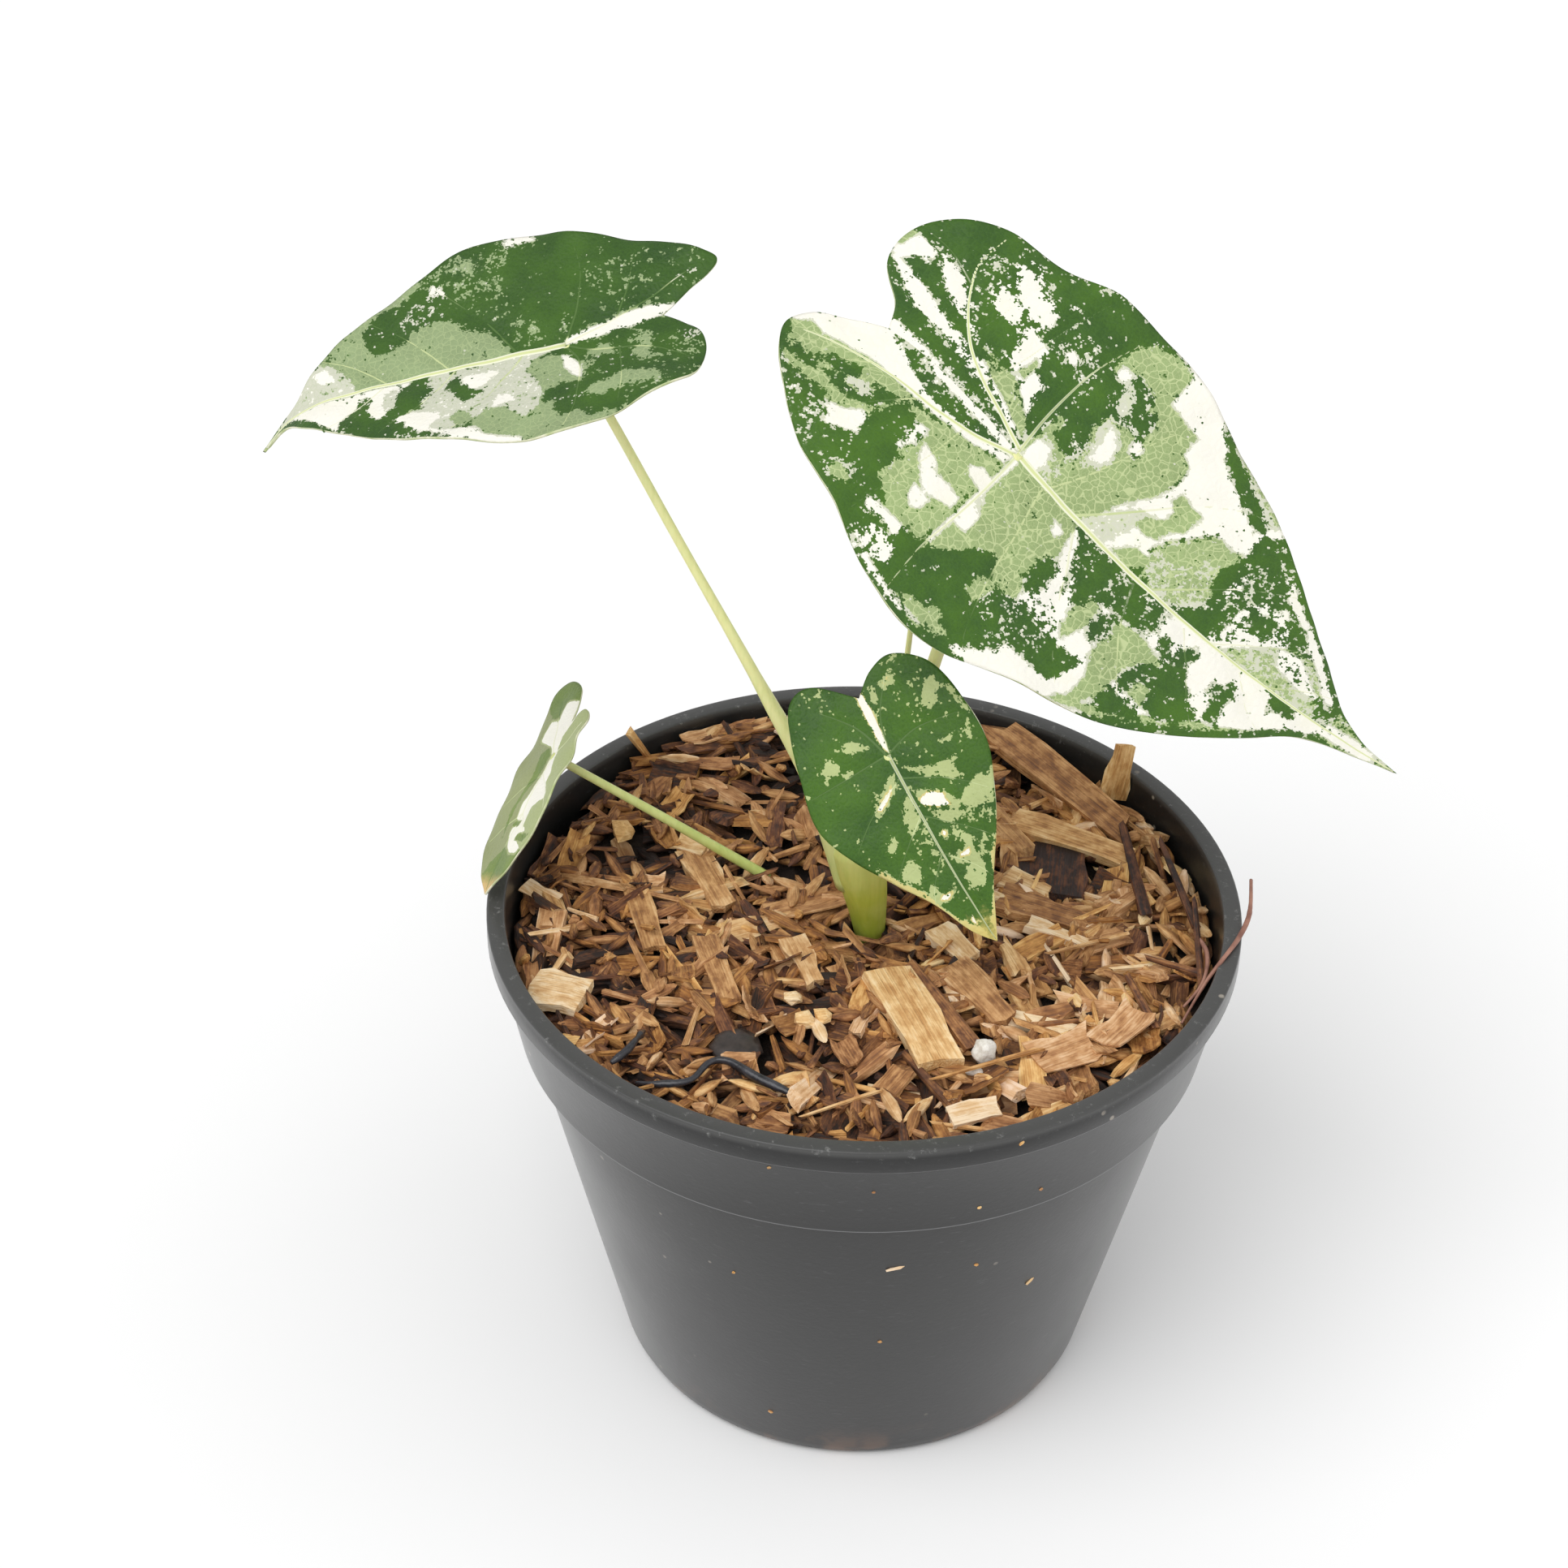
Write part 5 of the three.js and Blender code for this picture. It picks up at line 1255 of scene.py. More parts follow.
# %% Patches of the left leaf: tone, then places along and across
PATCHES["left"] = [
    ("deep", [(-32, 30), (60, 30), (60, -30), (-32, -30)]),
    # far side, the lobe
    ("speckled", [(-26, 10), (-24, 15.6), (-16, 19.4), (-10, 21), (-9, 12), (-3, 8), (-3, 1), (-16, 0.6),
        (-24, 0)]),
    ("dark", [(-13, 11), (-7, 11.4), (-4, 8), (-3, 5), (-8, 5.4), (-12, 5)]),
    ("mint", [(-10, 16), (-7, 17.4), (-4, 17.2), (-3, 15.2), (-4.2, 14.2), (-7.4, 13.4), (-9, 11.8),
        (-10, 13)]),
    ("mint", [(-15.6, 16.2), (-12.4, 16.6), (-11, 15), (-9.6, 14.6), (-9.4, 12), (-10.6, 10.8), (-13, 12.2),
        (-15.8, 12.8), (-17.8, 15)]),
    ("mossy", [(-24, 9.4), (-18.8, 9.4), (-18.2, 6), (-20, 4.6), (-23.4, 5)]),
    ("spattered", [(-25, 4.4), (-22, 4.4), (-21, 0.8), (-24, 0)]),
    ("mint", [(-15.8, 8.6), (-13.2, 8.6), (-12.8, 5.4), (-14, 3), (-14.2, 0.4), (-16, 0.6), (-15.6, 4)]),
    ("mint", [(-9.2, 5), (-4.6, 5), (-3.8, 3), (-8, 2.4)]),
    ("mossy", [(-6.8, 10.8), (-3, 10.8), (-2.8, 5.4), (-5, 5)]),
    # far side, next to the stalk
    ("mint", [(-11, 21.4), (-6, 25), (0, 28), (6, 28), (8, 25.6), (10, 24.2), (14.4, 22.6), (15.8, 21),
        (15.6, 19.6), (17, 19), (17.8, 17), (15, 14.6), (12, 15), (9.6, 18), (8, 20.4), (6, 18.6),
        (4.4, 16), (4, 13.4), (2, 17), (1.6, 20.6), (-1.6, 20.4), (-3, 22.4), (-6, 22.6)]),
    ("dark", [(-3.6, 22.6), (-2.2, 20.2), (1, 21.8), (2.2, 19.6), (2, 17.4), (4.4, 14.8), (3.8, 12.2),
        (1.6, 11.8), (0, 13.4), (-2.6, 12.4)]),
    ("mint", [(-2.8, 11.8), (0, 12), (1.6, 12.2), (5, 13), (5.8, 10), (5, 8.4), (7.2, 5.6), (6.4, 2.6),
        (2, 2), (0, 5), (-2.4, 8)]),
    ("pale", [(5.4, 17), (8, 20.6), (9.6, 18), (12, 15), (15, 14.6), (17.8, 17), (20, 17.4), (25, 18),
        (29, 15.8), (30.2, 12), (29.8, 9.4), (27.6, 9.4), (28, 7), (26.4, 5), (27, 2), (26, 0), (1, 0),
        (4, 1.4), (6.4, 2.6), (7.2, 5.6), (5.4, 9), (4.6, 13)]),
    ("cream", [(-2.8, 10.6), (-1, 9.6), (0.2, 7), (0.8, 3), (-0.8, 3.6), (-2.6, 7)]),
    ("mint", [(18, 16.6), (19.8, 17.4), (21.6, 16), (21.8, 14.2), (20, 12.8), (18.2, 14.8)]),
    ("cream", [(12.4, 3.2), (15, 6.2), (18, 7.6), (19.8, 6), (20, 3), (16, 3)]),
    ("cream", [(24, 14), (27, 17.2), (31, 15.2), (30.2, 12.6), (33.4, 12.2), (32.2, 10.2), (29.6, 9.8),
        (27, 10.8), (24.4, 12)]),
    ("cream", [(10, 13.6), (14, 14.4), (13, 11.4), (10.4, 11)]),
    ("dark", [(14.6, 7), (17.4, 9.8), (19, 11), (20.6, 9.6), (21.6, 7), (23, 5.4), (22.6, 3.4), (20, 2.4),
        (19.4, 5.4), (18.2, 7.2), (16.6, 7.8)]),
    ("dark", [(25.2, 5.2), (28, 7.2), (29.4, 5.4), (27.6, 3.4), (25.4, 3.8)]),
    # far side, the outer half
    ("cream", [(7, 29), (21, 23.6), (30, 18.6), (36, 14.6), (34, 13), (27, 16.8), (22, 18), (17, 19.6),
        (15.4, 22), (9, 25)]),
    ("spattered", [(21, 22.6), (26, 20.4), (31, 17.6), (36, 14.8), (36, 13.2), (30, 15.2), (25, 17.8),
        (22, 20.2)]),
    ("cream", [(30, 1), (33, 10), (38, 12), (45, 11), (52, 4), (55, 0), (30, 0)]),
    ("spattered", [(29, 15.4), (36, 14.4), (42, 11.6), (44.6, 9.6), (43.6, 7), (41, 5), (39, 1.6),
        (37.2, 2), (38, 7), (36, 9.4), (34, 8.6), (32.4, 5), (31.6, 2), (28, 0.8), (27.2, 2.4), (30, 5),
        (31, 9), (33.2, 11.4), (31, 13.4)]),
    ("dark", [(29.6, 15), (36, 14), (42, 11.2), (43, 8), (39, 5), (36.8, 9.8), (33.4, 11.8)]),
    ("dark", [(27, 1.4), (29, 5), (31, 9.8), (34.4, 9.6), (32.4, 5), (31.4, 1.6)]),
    ("pale", [(32.4, 3), (33, 6.4), (34.6, 8), (35.4, 5), (35, 2), (32.4, 1.4)]),
    ("dark", [(43, 11), (48, 8), (52, 4.6), (57, 0.6), (54, 0.2), (50, 3.4), (46, 7.6)]),
    # near side, the outer half
    ("mint", [(10, 0), (40, 0), (41, -3), (42.4, -5.4), (46, -7.6), (44, -10), (38, -13.4), (37, -11),
        (36, -8.6), (33, -7.6), (30, -9.6), (28, -11), (25, -11.4), (22, -12), (20, -11), (18, -8.6),
        (13.4, -6.2), (11, -3.6)]),
    ("pale", [(40, 0), (58, 0), (54, -3), (50, -6.4), (47, -9), (44, -7), (42, -5), (41, -3)]),
    ("cream", [(44, -4), (47, -4), (48, -6.4), (46, -7)]),
    ("spattered", [(22, -12.2), (28, -11.4), (30.4, -10), (30.4, -14), (29, -17), (24, -19.4),
        (20.4, -16)]),
    ("dark", [(30, -10), (33, -7.6), (36.8, -8.6), (37.6, -14), (32, -15.8), (30, -16)]),
    ("cream", [(19.6, -16.6), (22, -17.6), (24.4, -18.6), (23.6, -20.8), (21.2, -19.6)]),
    ("mint", [(25, -20.6), (30, -18.4), (37, -15), (38, -13.4), (44, -10), (47, -9), (42, -13.4),
        (38, -16.8), (31, -21.4), (26, -23)]),
    # near side, next to the stalk and the lobe
    ("speckled", [(-27, -9), (-14, -4.6), (-5, -3), (-4, -10), (-6, -17), (-14, -18.6), (-23, -18),
        (-29, -13)]),
    ("spattered", [(-26.6, -12), (-24, -11), (-20.6, -9.4), (-21, -12), (-25, -14)]),
    ("mossy", [(4, -2.4), (9.8, -2.6), (10.4, -7), (7, -9.4), (4.2, -7)]),
    ("speckled", [(9.6, -8), (13, -11), (20, -14), (21, -18), (23, -21), (9.4, -25), (9.4, -14)]),
    ("mossy", [(8.6, -20), (14, -21), (22, -21.6), (26, -20.2), (24, -23.4), (16, -26), (8.6, -26.6)]),
    ("cream", [(3.2, -25.6), (8.8, -24.8), (9.6, -26.4), (8, -28), (4, -27.6)]),
    ("cream", [(0, 0), (-6, -0.2), (-12, -1.2), (-17, -2.6), (-22, -5.6), (-17, -5.6), (-12, -4.8),
        (-6, -3.2), (0, -1.4)]),
]
print("patches of the left leaf:", len(PATCHES["left"]))

# %% Patches of the front leaf: tone, then places along and across
PATCHES["front"] = [
    ("deep", [(-20, 20), (42, 20), (42, -20), (-20, -20)]),
    ("speckled", [(14, 10), (17, 13), (22, 10.6), (26, 7), (30, 4), (30, 1), (17, 1)]),
    ("speckled", [(-17, 8), (-12, 12), (-4, 14), (-3, 10), (-8, 6), (-14, 4)]),
    ("mossy", [(9, 0), (22, 0), (24, -2), (18, -4), (14, -3.6), (10, -2.6)]),
    ("speckled", [(-17, -6), (-12, -5), (-12, -9), (-16, -9)]),
    ("speckled", [(18, -4), (28, -4), (28, 0), (20, 0)]),
    ("mint", [(10, 17), (12, 17.4), (14.4, 15), (17.2, 13.4), (16.4, 12), (16, 10), (14.4, 8), (12, 9.6),
        (12, 11), (11, 13), (11.6, 15)]),
    ("mint", [(3.6, 1.8), (5, 5), (6, 8.4), (6, 10), (9.6, 10.6), (9.8, 9), (8, 7), (7, 4.4), (5, 2.4)]),
    ("mint", [(5.6, 11), (7, 12.6), (6.6, 10.4)]),
    ("cream", [(9, 3), (11, 6), (13.6, 7), (13.6, 5), (12, 2), (11, 1), (9.4, 1.4)]),
    ("mint", [(7.6, 1), (9.4, 3.6), (10, 1.4)]),
    ("mint", [(11.4, 6), (14, 8.6), (14.2, 6.6), (12, 5.8)]),
    ("mint", [(13.6, 2), (14, 6.4), (16.6, 7.6), (17, 5), (15.4, 3), (14.6, 2.4)]),
    ("cream", [(17.2, 2.6), (18.4, 2.8), (18.4, 2), (17.4, 1.8)]),
    ("mint", [(18.4, 4.2), (20, 6), (22.6, 6.2), (23, 5.2), (20, 4.6)]),
    ("mint", [(22.4, 1), (22.4, 3), (24, 4.4), (24.4, 6.6), (28, 5.6), (30, 4), (29, 2), (27, 1.6),
        (25, 3.4), (24, 1.2)]),
    ("cream", [(22.4, 5), (23.6, 4.6), (23.4, 2.4), (22.6, 3)]),
    ("broken", [(20, 9.6), (23, 9), (24, 7), (21.4, 7.4)]),
    ("mint", [(-9.6, 14.4), (-7, 14.8), (-6, 13.4), (-7, 11.4), (-8.4, 12)]),
    ("mint", [(-6.6, 13.6), (-5, 13), (-5.4, 10.2), (-6.4, 11)]),
    ("mint", [(-5, 12.2), (-3.4, 11.6), (-4.4, 10.6)]),
    ("mint", [(-2.2, 14), (-1.2, 13.2), (-2, 12.4)]),
    ("mint", [(-8, 15.4), (-6, 16.6), (0, 17.9), (-1, 17), (-5, 15.8)]),
    ("mint", [(-12.6, 3.6), (-9.6, 3.2), (-9.8, 2.2), (-12.6, 2.4)]),
    ("lit_mint", [(-13.6, 8), (-12, 7), (-11.4, 5), (-13, 5.2)]),
    ("mint", [(-16.8, 10), (-15.4, 9.6), (-15.8, 8)]),
    ("mint", [(1.4, 16.6), (2.6, 16.2), (2.2, 15.2)]),
    ("mint", [(3, 16.2), (4, 15.4), (3.2, 14.2)]),
    ("mint", [(1.8, 12.2), (3.2, 11.6), (2.4, 10.6)]),
    ("mint", [(0.4, 6.6), (1, 6.2), (0.8, 4.4)]),
    ("mint", [(-2, -2.2), (-3, -5), (-4, -7), (-6.2, -7), (-5.4, -5), (-4, -3.2)]),
    ("mint", [(-4.2, -10), (-2.4, -9.4), (-1, -10), (-1.2, -12.4), (-2.8, -13), (-4.4, -11.4)]),
    ("mint", [(-0.4, -7.2), (0.4, -7.8), (0.6, -9.4), (-0.4, -9.4)]),
    ("mint", [(3.4, -0.6), (6, -1.4), (7.6, -3), (9, -5), (9.8, -7), (8.4, -7.4), (7, -5.4), (5, -3)]),
    ("cream", [(5.4, -2), (7, -3), (9, -6), (8.4, -7), (7, -5)]),
    ("mint", [(8.4, -0.3), (13, -0.3), (14, -1.4), (15.2, -3), (12.4, -2.8), (10, -2.2)]),
    ("broken", [(14.6, -0.2), (22, -0.2), (21, -1.8), (18.4, -1.8), (18, -3), (16.4, -2.8)]),
    ("mint", [(14, -6.4), (15.6, -6.4), (17.6, -8.8), (16, -8.6)]),
    ("mint", [(20, -5.4), (21.6, -5), (25, -6.4), (22, -9), (20.4, -8)]),
    ("mint", [(25, -4.6), (28, -4), (28.4, -1.4), (29.8, -3.4), (29, -5.6), (26, -6.2)]),
    ("cream", [(28, -4), (28.2, -1.6), (29.4, -3.4), (28.8, -5)]),
    ("cream", [(33, -1), (36.4, -1.4), (35, -2)]),
    ("cream", [(-12.6, 1), (-9, 1.2), (-4, 0.9), (0, 0.4), (-2, -0.5), (-8, -0.6), (-12.6, -0.4)]),
    ("pale", [(10, 18.4), (16, 14.8), (22, 11), (25, 8), (30, 5.6), (33, 3.6), (36, 1.4), (42, 0), (37, 5),
        (30, 8), (23, 13), (14, 17.6)]),
    ("pale", [(42, 0), (36, -1.6), (33, -3.8), (31, -5), (26, -6.6), (22, -9.8), (18.4, -12), (22, -14),
        (30, -8.6), (38, -5)]),
]
print("patches of the front leaf:", len(PATCHES["front"]))

# %% Patches of the small leaf: tone, then places along and across
PATCHES["small"] = [
    ("mint", [(-20, 20), (34, 20), (34, -20), (-20, -20)]),
    ("pale", [(-12, -2), (0, -1), (12, 2), (22, 3), (25, 9), (24, 16), (-12, 16)]),
    ("cream", [(-14, -3), (-12.6, -6.8), (-8.4, -6.6), (-8, -9), (-3, -8.6), (-1.8, -2.4), (0, -0.4),
        (9, -0.8), (11, -2), (14, -1.6), (18, -1), (21, 1.6), (22, 4), (22, 7), (21, 7.6), (20, 6), (18, 4),
        (17, 6.4), (16, 4), (12, 4), (9.4, 8), (6, 3.8), (4, 4.4), (0, 2), (-2, 0.4), (-4.6, -0.4), (-8, 1),
        (-12, 1)]),
    ("dark", [(20.6, 0), (22.6, 4), (22.4, 7), (21, 8), (21, 12), (26, 10), (28, 4), (32, 0), (28, -4),
        (24, -3)]),
    ("dark", [(-20, -2), (-14, -2), (-13, -7), (-9, -7), (-8.4, -9.4), (-10, -12), (-13, -16), (-20, -14)]),
    ("dark", [(17.4, 9), (19.6, 7.4), (19.2, 3.6), (17.8, 3.8)]),
    ("dark", [(14.8, 1.6), (16, 1.4), (16.2, -1.6), (14.6, -1.4)]),
    ("dark", [(-2, -3), (0, -1), (6, -2), (12, -4), (20, -3), (12, -5.4), (5, -4), (0, -5)]),
]
print("patches of the small leaf:", len(PATCHES["small"]))


# %% Shares on the flat leaf
MIDRIB_GAP = 1  # a place nearer the midrib of the large leaf takes what lies this far from it
SOFT_EDGES = {"large": (1.4, 0.55), "left": (1.4, 0.55), "front": (0.7, 0.4), "small": (1.4, 0.55)}


def is_inside(points, u, v):
    """Which flat places lie inside an outline."""
    inside = np.zeros(len(u), bool)
    for (u0, v0), (u1, v1) in zip(points, np.roll(points, -1, axis=0)):
        crossing = u0 + (v - v0) * (u1 - u0) / ((v1 - v0) or 1e-9)
        inside ^= ((v0 > v) != (v1 > v)) & (u < crossing)
    return inside


def patch_shares(name, u, v):
    """For flat places, the two shares that the patches set, with soft edges."""
    shares = np.zeros((2, len(u)))
    if name == "large":
        v = np.where(v > 0, np.maximum(v, MIDRIB_GAP), np.minimum(v, -MIDRIB_GAP))
    for tone, outline in PATCHES[name]:
        points = np.array(outline, float)
        near = line_distance(np.vstack([points, points[:1]]), u, v)
        depth = np.where(is_inside(points, u, v), near, -near)
        for values, target, soft in zip(shares, TONES[tone], SOFT_EDGES[name]):
            reach = np.clip(depth / soft / 2 + 0.5, 0, 1)
            values += (target - values) * reach * reach * (3 - 2 * reach)
    return shares


def keep_shares(bm, verts, name, u, v):
    """Stores the two shares of each vertex."""
    for share, values in zip(("no_dark", "no_green"), patch_shares(name, u, v)):
        keep(bm, verts, share, values)


# %% [markdown]
# ### The blades
# Each half is a fine grid between the midrib and its margin, and the halves are welded along the
# midrib. A Solidify modifier gives the blade its thickness, with a paler finish underneath.

# %% Build a blade
BLADE_GRID = {"large": (60, 256), "left": (46, 168), "front": (38, 140), "small": (28, 104)}
BLADE_THICK = {"large": 0.6, "left": 0.55, "front": 0.5, "small": 0.45}
PUFF, PUFF_REACH, MARGIN_REACH = 0.6, 3.4, 13  # for a leaf of FULL_SIZE, less for a smaller one
FULL_SIZE = 95


def blade_height(name, leaf, u, v):
    """How far the face stands above the folded sheet: puffed between veins, waved at the margin."""
    size = leaf["length"] / FULL_SIZE
    rim = np.clip(1 - margin_distance(name, u, v) / (MARGIN_REACH * size), 0, 1)
    puff = PUFF * size * np.tanh(vein_distance(name, u, v) / (PUFF_REACH * size**0.5)) * (1 - rim**4)
    ripple = 0.16 * np.sin(u * 0.55 + v * 0.2) * np.sin(v * 0.5 - u * 0.13)
    turns = np.sin(2 * leaf["waves"] * np.arctan2(np.abs(v), u) + 2 * (v > 0))
    wave = leaf["wave"] * rim**3 * turns * np.minimum(np.abs(v) / 4, 1)
    return puff + ripple + wave


def blade_half(bm, name, leaf, half):
    """One half of a blade, as a grid between the midrib and its margin."""
    points = leaf[half]
    rows = (len(points) - 1) * ROWS_PER_POINT
    flat = {}

    def place(x, y):
        share = x**1.1
        edge = smooth_line(points, y)
        station = points[0][0] * np.maximum(0, 1 - y * rows / leaf["station"])
        bow = VEIN_BOW * 4 * share * (1 - share) * edge[:, 1] * (1 - y)
        u = station + (edge[:, 0] - station) * share + bow
        v = HALVES[half] * edge[:, 1] * share
        flat["uv"] = u, v
        return blade_place(leaf, u, v, blade_height(name, leaf, u, v))

    verts = bent_grid(bm, *BLADE_GRID[name], place)
    keep_shares(bm, verts, name, *flat["uv"])
    keep(bm, verts, "flat", np.stack([*flat["uv"], np.zeros(len(verts))], 1))


def make_blade(name, leaf):
    """A blade of two halves. Solidify gives it a thickness and its own slots below and round the edge."""
    bm = blank(["no_dark", "no_green"], ["flat"])
    for half in HALVES:
        blade_half(bm, name, leaf, half)
    bmesh.ops.remove_doubles(bm, verts=bm.verts[:], dist=2e-6)
    bmesh.ops.dissolve_degenerate(bm, dist=1e-7, edges=bm.edges[:])
    point_outwards(bm)
    probe = blade_place(leaf, np.zeros(2), np.zeros(2), np.array([0.0, 1.0]))
    face_up = Vector(probe[1] - probe[0])
    if sum((f.normal * f.calc_area() for f in bm.faces), Vector()).dot(face_up) < 0:
        bmesh.ops.reverse_faces(bm, faces=bm.faces[:])
    blade = finished(bm, f"blade_{name}", f"leaf_blade_{name}")
    thick = blade.modifiers.new("thickness", "SOLIDIFY")
    thick.thickness, thick.offset = BLADE_THICK[name] * MM, -1
    thick.material_offset, thick.material_offset_rim = 1, 2
    return blade


blades = {name: make_blade(name, leaf) for name, leaf in LEAVES.items()}

# %% Build a leaf's veins
VEIN_PROUD, VEIN_SUNK = 0.1, 0.03
VEIN_SIDES, VEIN_STEPS = 10, 44


def vein(bm, name, leaf, start, end, line):
    """One vein as a low ridge that follows the blade: slight on the face and fuller underneath."""
    centre = even_line(line, VEIN_STEPS + 1)
    run = np.gradient(centre, axis=0)
    sideways = run[:, ::-1] * (-1, 1) / np.linalg.norm(run, axis=1)[:, None]
    width = np.linspace(start, end, VEIN_STEPS + 1) / 2
    flat = {}

    def place(x, y):
        step = np.round(y * VEIN_STEPS).astype(int)
        angle = 2 * np.pi * x
        u, v = (centre[step] + sideways[step] * (width[step] * np.cos(angle))[:, None]).T
        top = VEIN_PROUD * (0.6 + width[step]) * np.sin(angle)
        below = (BLADE_THICK[name] + width[step] * 0.7) * np.sin(angle)
        ridge = np.where(angle < np.pi, top, below) - VEIN_SUNK
        flat["uv"], flat["across"] = (u, v), np.cos(angle)
        return blade_place(leaf, u, v, blade_height(name, leaf, u, v) + ridge)

    verts = bent_grid(bm, VEIN_SIDES, VEIN_STEPS, place)
    keep_shares(bm, verts, name, *flat["uv"])
    keep(bm, verts, "across", flat["across"])
    keep(bm, verts, "bold", [start] * len(verts))


def make_veins(name, leaf):
    """All veins of a leaf in one piece."""
    bm = blank(["bold", "across", "no_dark", "no_green"])
    for start, end, line in VEINS[name]:
        vein(bm, name, leaf, start, end, line)
    close_ends(bm, bm.verts[:], VEIN_SIDES)
    return finished(bm, f"veins_{name}", f"leaf_blade_{name}")


veins = {name: make_veins(name, leaf) for name, leaf in LEAVES.items()}

# %% [markdown]
# ### The marbled finish
# The two shares on the vertices are smooth. The finish adds noise that is constant over each small
# cell of the leaf, then cuts the sum at one half, which gives crisp angular edges and spatter. A
# net of fine veins shows where the green is thin. The underside is paler and duller.

# %% Marble the blades
DARK = ((0.033, 0.086, 0.015), (0.062, 0.147, 0.014))
MINT, MINT_NET = (0.27, 0.355, 0.15), (0.53, 0.6, 0.31)
PALE = (0.59, 0.6, 0.48)
CREAM, WARM_CREAM = (0.84, 0.82, 0.74), (0.84, 0.82, 0.629)
CREAM_NET = (0.72, 0.74, 0.55)
UNDER = (0.3, 0.38, 0.2)
CELL = 2.9  # cells of constant noise to a millimetre


def leaf_finish(name, seed, under=False, net_scale=0.62, ragged=1.0, bleach=0.75, dark=DARK, mint=MINT,
                net=MINT_NET, pale=PALE, tip=None):
    """The marbled finish.

    ragged sets how far the noise breaks the patches, and bleach how much of it turns to cream.
    tip gives where along the leaf it turns another colour, and that colour.
    """
    leaf = Finish(name, roughness=0.5, Specular_IOR_Level=0.22)
    flat = leaf.shifted(leaf.read("flat", "Vector"), (seed * 37.0, seed * 17.0, seed * 5.0))
    cell = leaf.cells(flat, CELL, "Position")
    jag = leaf.sum(
        leaf.swing(leaf.noise(cell, 0.85, detail=3, rough=0.62), 2.1 * ragged),
        leaf.swing(leaf.noise(cell, 0.26, detail=2, rough=0.5), 0.8 * ragged),
        leaf.swing(leaf.add("TexWhiteNoise", {"Vector": cell}, "Value"), 0.26 * ragged),
    )
    is_light = leaf.span(leaf.sum(leaf.read("no_dark"), jag), 0.47, 0.53)
    no_green = leaf.sum(leaf.read("no_green"), leaf.times(jag, bleach))
    is_pale, is_cream = leaf.span(no_green, 0.3, 0.36), leaf.span(no_green, 0.7, 0.76)

    wander = leaf.scaled(leaf.noise(flat, 0.5, detail=2, output="Color"), 1.1, 1.1, 0)
    bent = leaf.shifted(wander, flat)
    ribs = leaf.cells(bent, net_scale, feature="DISTANCE_TO_EDGE")
    fine = leaf.cells(bent, net_scale * 2.3, feature="DISTANCE_TO_EDGE")
    lines = leaf.above(leaf.span(ribs, 0.075, 0.025), leaf.span(fine, 0.08, 0.02, 0, 0.35))

    cloud = leaf.noise(flat, 0.09, detail=4)
    grit = leaf.noise(flat, 2.2, detail=3, rough=0.7)
    green = leaf.ramp(leaf.sum(cloud, leaf.swing(grit, 0.5)), (0.33, dark[0]), (0.67, dark[1]))
    green = leaf.mix(leaf.times(lines, 0.16), green, tuple(c * 1.6 + 0.02 for c in dark[0]))
    thin = leaf.mix(leaf.span(cloud, 0.35, 0.7), mint, tuple(c * 1.18 for c in mint))
    thin = leaf.mix(leaf.times(lines, 0.75), thin, net)
    faint = leaf.mix(leaf.times(lines, 0.25), pale, net)
    white = leaf.mix(leaf.span(cloud, 0.5, 0.75, 0, 0.35), CREAM, WARM_CREAM)
    white = leaf.mix(leaf.times(lines, 0.12), white, CREAM_NET)
    colour = leaf.mix(is_light, green, leaf.mix(is_cream, leaf.mix(is_pale, thin, faint), white))
    if tip:
        along = leaf.part_of(leaf.read("flat", "Vector"), "X")
        colour = leaf.mix(leaf.span(leaf.sum(along, leaf.times(jag, 4.0)), tip[0], tip[1]), colour, tip[2])
    if under:
        colour = leaf.mix(0.5, colour, UNDER)
    leaf.colour(colour)
    leaf.rough(leaf.span(cloud, 0.3, 0.7, 0.42, 0.54))
    leaf.bump(leaf.sum(leaf.span(ribs, 0.0, 0.5), leaf.times(grit, 0.5)), -0.1 if under else 0.07)
    return leaf


# %% Finish the veins and the margin
edge_finish = speckled(
    "leaf_margin", 0.5, 300, 2, 0.05, (0.35, (0.42, 0.5, 0.22)), (0.65, (0.75, 0.74, 0.55)),
)

vein_finish = Finish("leaf_vein", roughness=0.45, Specular_IOR_Level=0.35)
vein_cloud = vein_finish.noise(vein_finish.place(), 180, detail=3)
pale_around = vein_finish.span(vein_finish.sum(vein_finish.read("no_dark"), vein_cloud), 0.8, 1.2)
white_around = vein_finish.span(vein_finish.sum(vein_finish.read("no_green"), vein_cloud), 0.9, 1.2)
slim = vein_finish.mix(pale_around, (0.075, 0.15, 0.03), (0.5, 0.57, 0.28))
slim = vein_finish.mix(white_around, slim, (0.76, 0.76, 0.58))
across = vein_finish.read("across")
middle = vein_finish.span(vein_finish.times(across, across), 0.3, 0.05)
stout = vein_finish.mix(middle, (0.78, 0.79, 0.6), (0.62, 0.67, 0.32))
vein_finish.colour(vein_finish.mix(vein_finish.span(vein_finish.read("bold"), 0.66, 0.92), slim, stout))
vein_finish.bump(vein_cloud, 0.05)
print("finishes:", edge_finish.material.name, vein_finish.material.name)

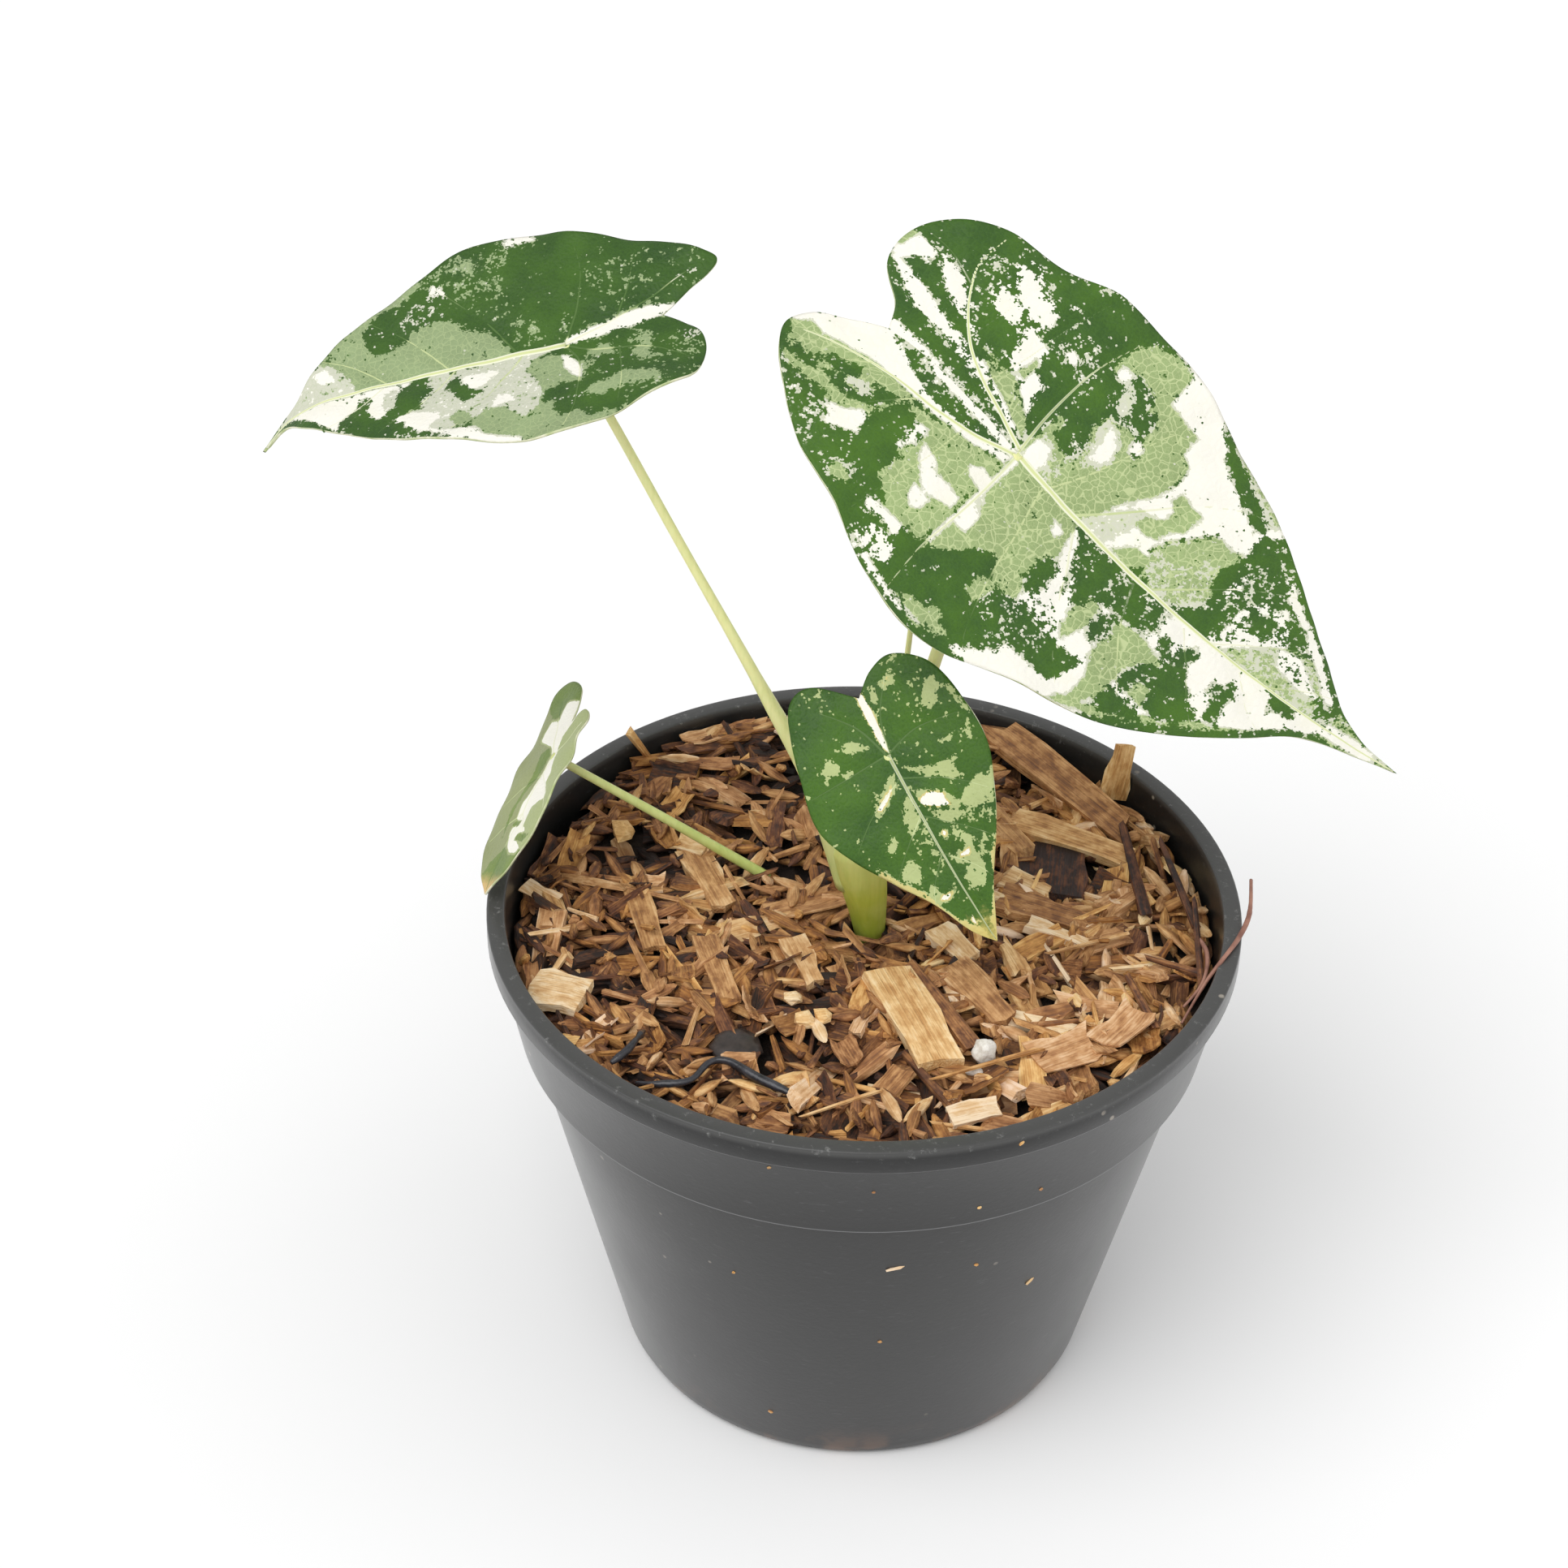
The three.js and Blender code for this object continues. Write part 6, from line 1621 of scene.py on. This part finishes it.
# %% Dress the leaves
LOOKS = {
    "large": {"seed": 1.0, "bleach": 0.64},
    "left": {"seed": 2.0, "net_scale": 0.85, "bleach": 0.6, "mint": (0.24, 0.315, 0.155),
             "dark": ((0.027, 0.072, 0.013), (0.052, 0.125, 0.014)),
             "net": (0.36, 0.44, 0.22), "pale": (0.57, 0.58, 0.47)},
    "front": {"seed": 3.0, "net_scale": 0.95, "ragged": 1.15, "bleach": 0.3, "mint": (0.38, 0.44, 0.19),
              "net": (0.42, 0.48, 0.22), "pale": (0.6, 0.52, 0.2), "tip": (33, 41, (0.62, 0.5, 0.15))},
    "small": {"seed": 4.0, "net_scale": 0.95, "ragged": 0.3, "mint": (0.26, 0.29, 0.14),
              "dark": ((0.13, 0.19, 0.055), (0.2, 0.27, 0.075)), "net": (0.28, 0.31, 0.15),
              "pale": (0.37, 0.42, 0.2), "tip": (26, 30, (0.62, 0.43, 0.18))},
}
for name, blade in blades.items():
    face = leaf_finish(f"marbled_{name}", **LOOKS[name])
    below = leaf_finish(f"underside_{name}", under=True, **LOOKS[name])
    dress(blade, face, below, edge_finish)
    dress(veins[name], vein_finish)
print("leaf finishes:", [m.name for m in bpy.data.materials if m.name.startswith("marbled")])

# %% [markdown]
# ## Stage and light
# A plain pale floor, one broad sun from the front left, a softer one from the right and an even
# white sky, as in a product studio. Suns that look wide give soft shadows.

# %% Floor, lamps and background
FLOOR_SIZE, FLOOR_DROP = 12, 0.2

floor_shape = bmesh.new()
bmesh.ops.create_grid(floor_shape, x_segments=1, y_segments=1, size=FLOOR_SIZE)
floor = placed(floor_shape, "floor")
floor.location.z = -FLOOR_DROP * MM
paper = Finish("pale_floor", roughness=0.9)
paper.colour(paper.ramp(paper.noise(paper.place(), 3), (0.3, (0.9, 0.9, 0.9)), (0.7, (0.92, 0.92, 0.92))))
dress(floor, paper)

SUNS = [  # where the light comes from, strength, how wide the source looks in degrees
    ("key", (-0.5, -0.62, 1.1), 1.65, 50),
    ("fill", (0.9, -0.5, 0.8), 0.5, 90),
]
for name, at, strength, width in SUNS:
    sun = bpy.data.objects.new(name, bpy.data.lights.new(name, "SUN"))
    sun.data.energy, sun.data.angle = strength, math.radians(width)
    sun.rotation_euler = Vector(at).to_track_quat("Z", "Y").to_euler()
    sun.location = at
    bpy.context.scene.collection.objects.link(sun)
world = bpy.data.worlds.new("studio")
bpy.context.scene.world = world
world.use_nodes = True
sky = world.node_tree.nodes["Background"].inputs
sky["Color"].default_value = (1, 1, 1, 1)
sky["Strength"].default_value = 0.66
bpy.context.scene.view_settings.view_transform = "Standard"
print("lights:", [row[0] for row in SUNS])
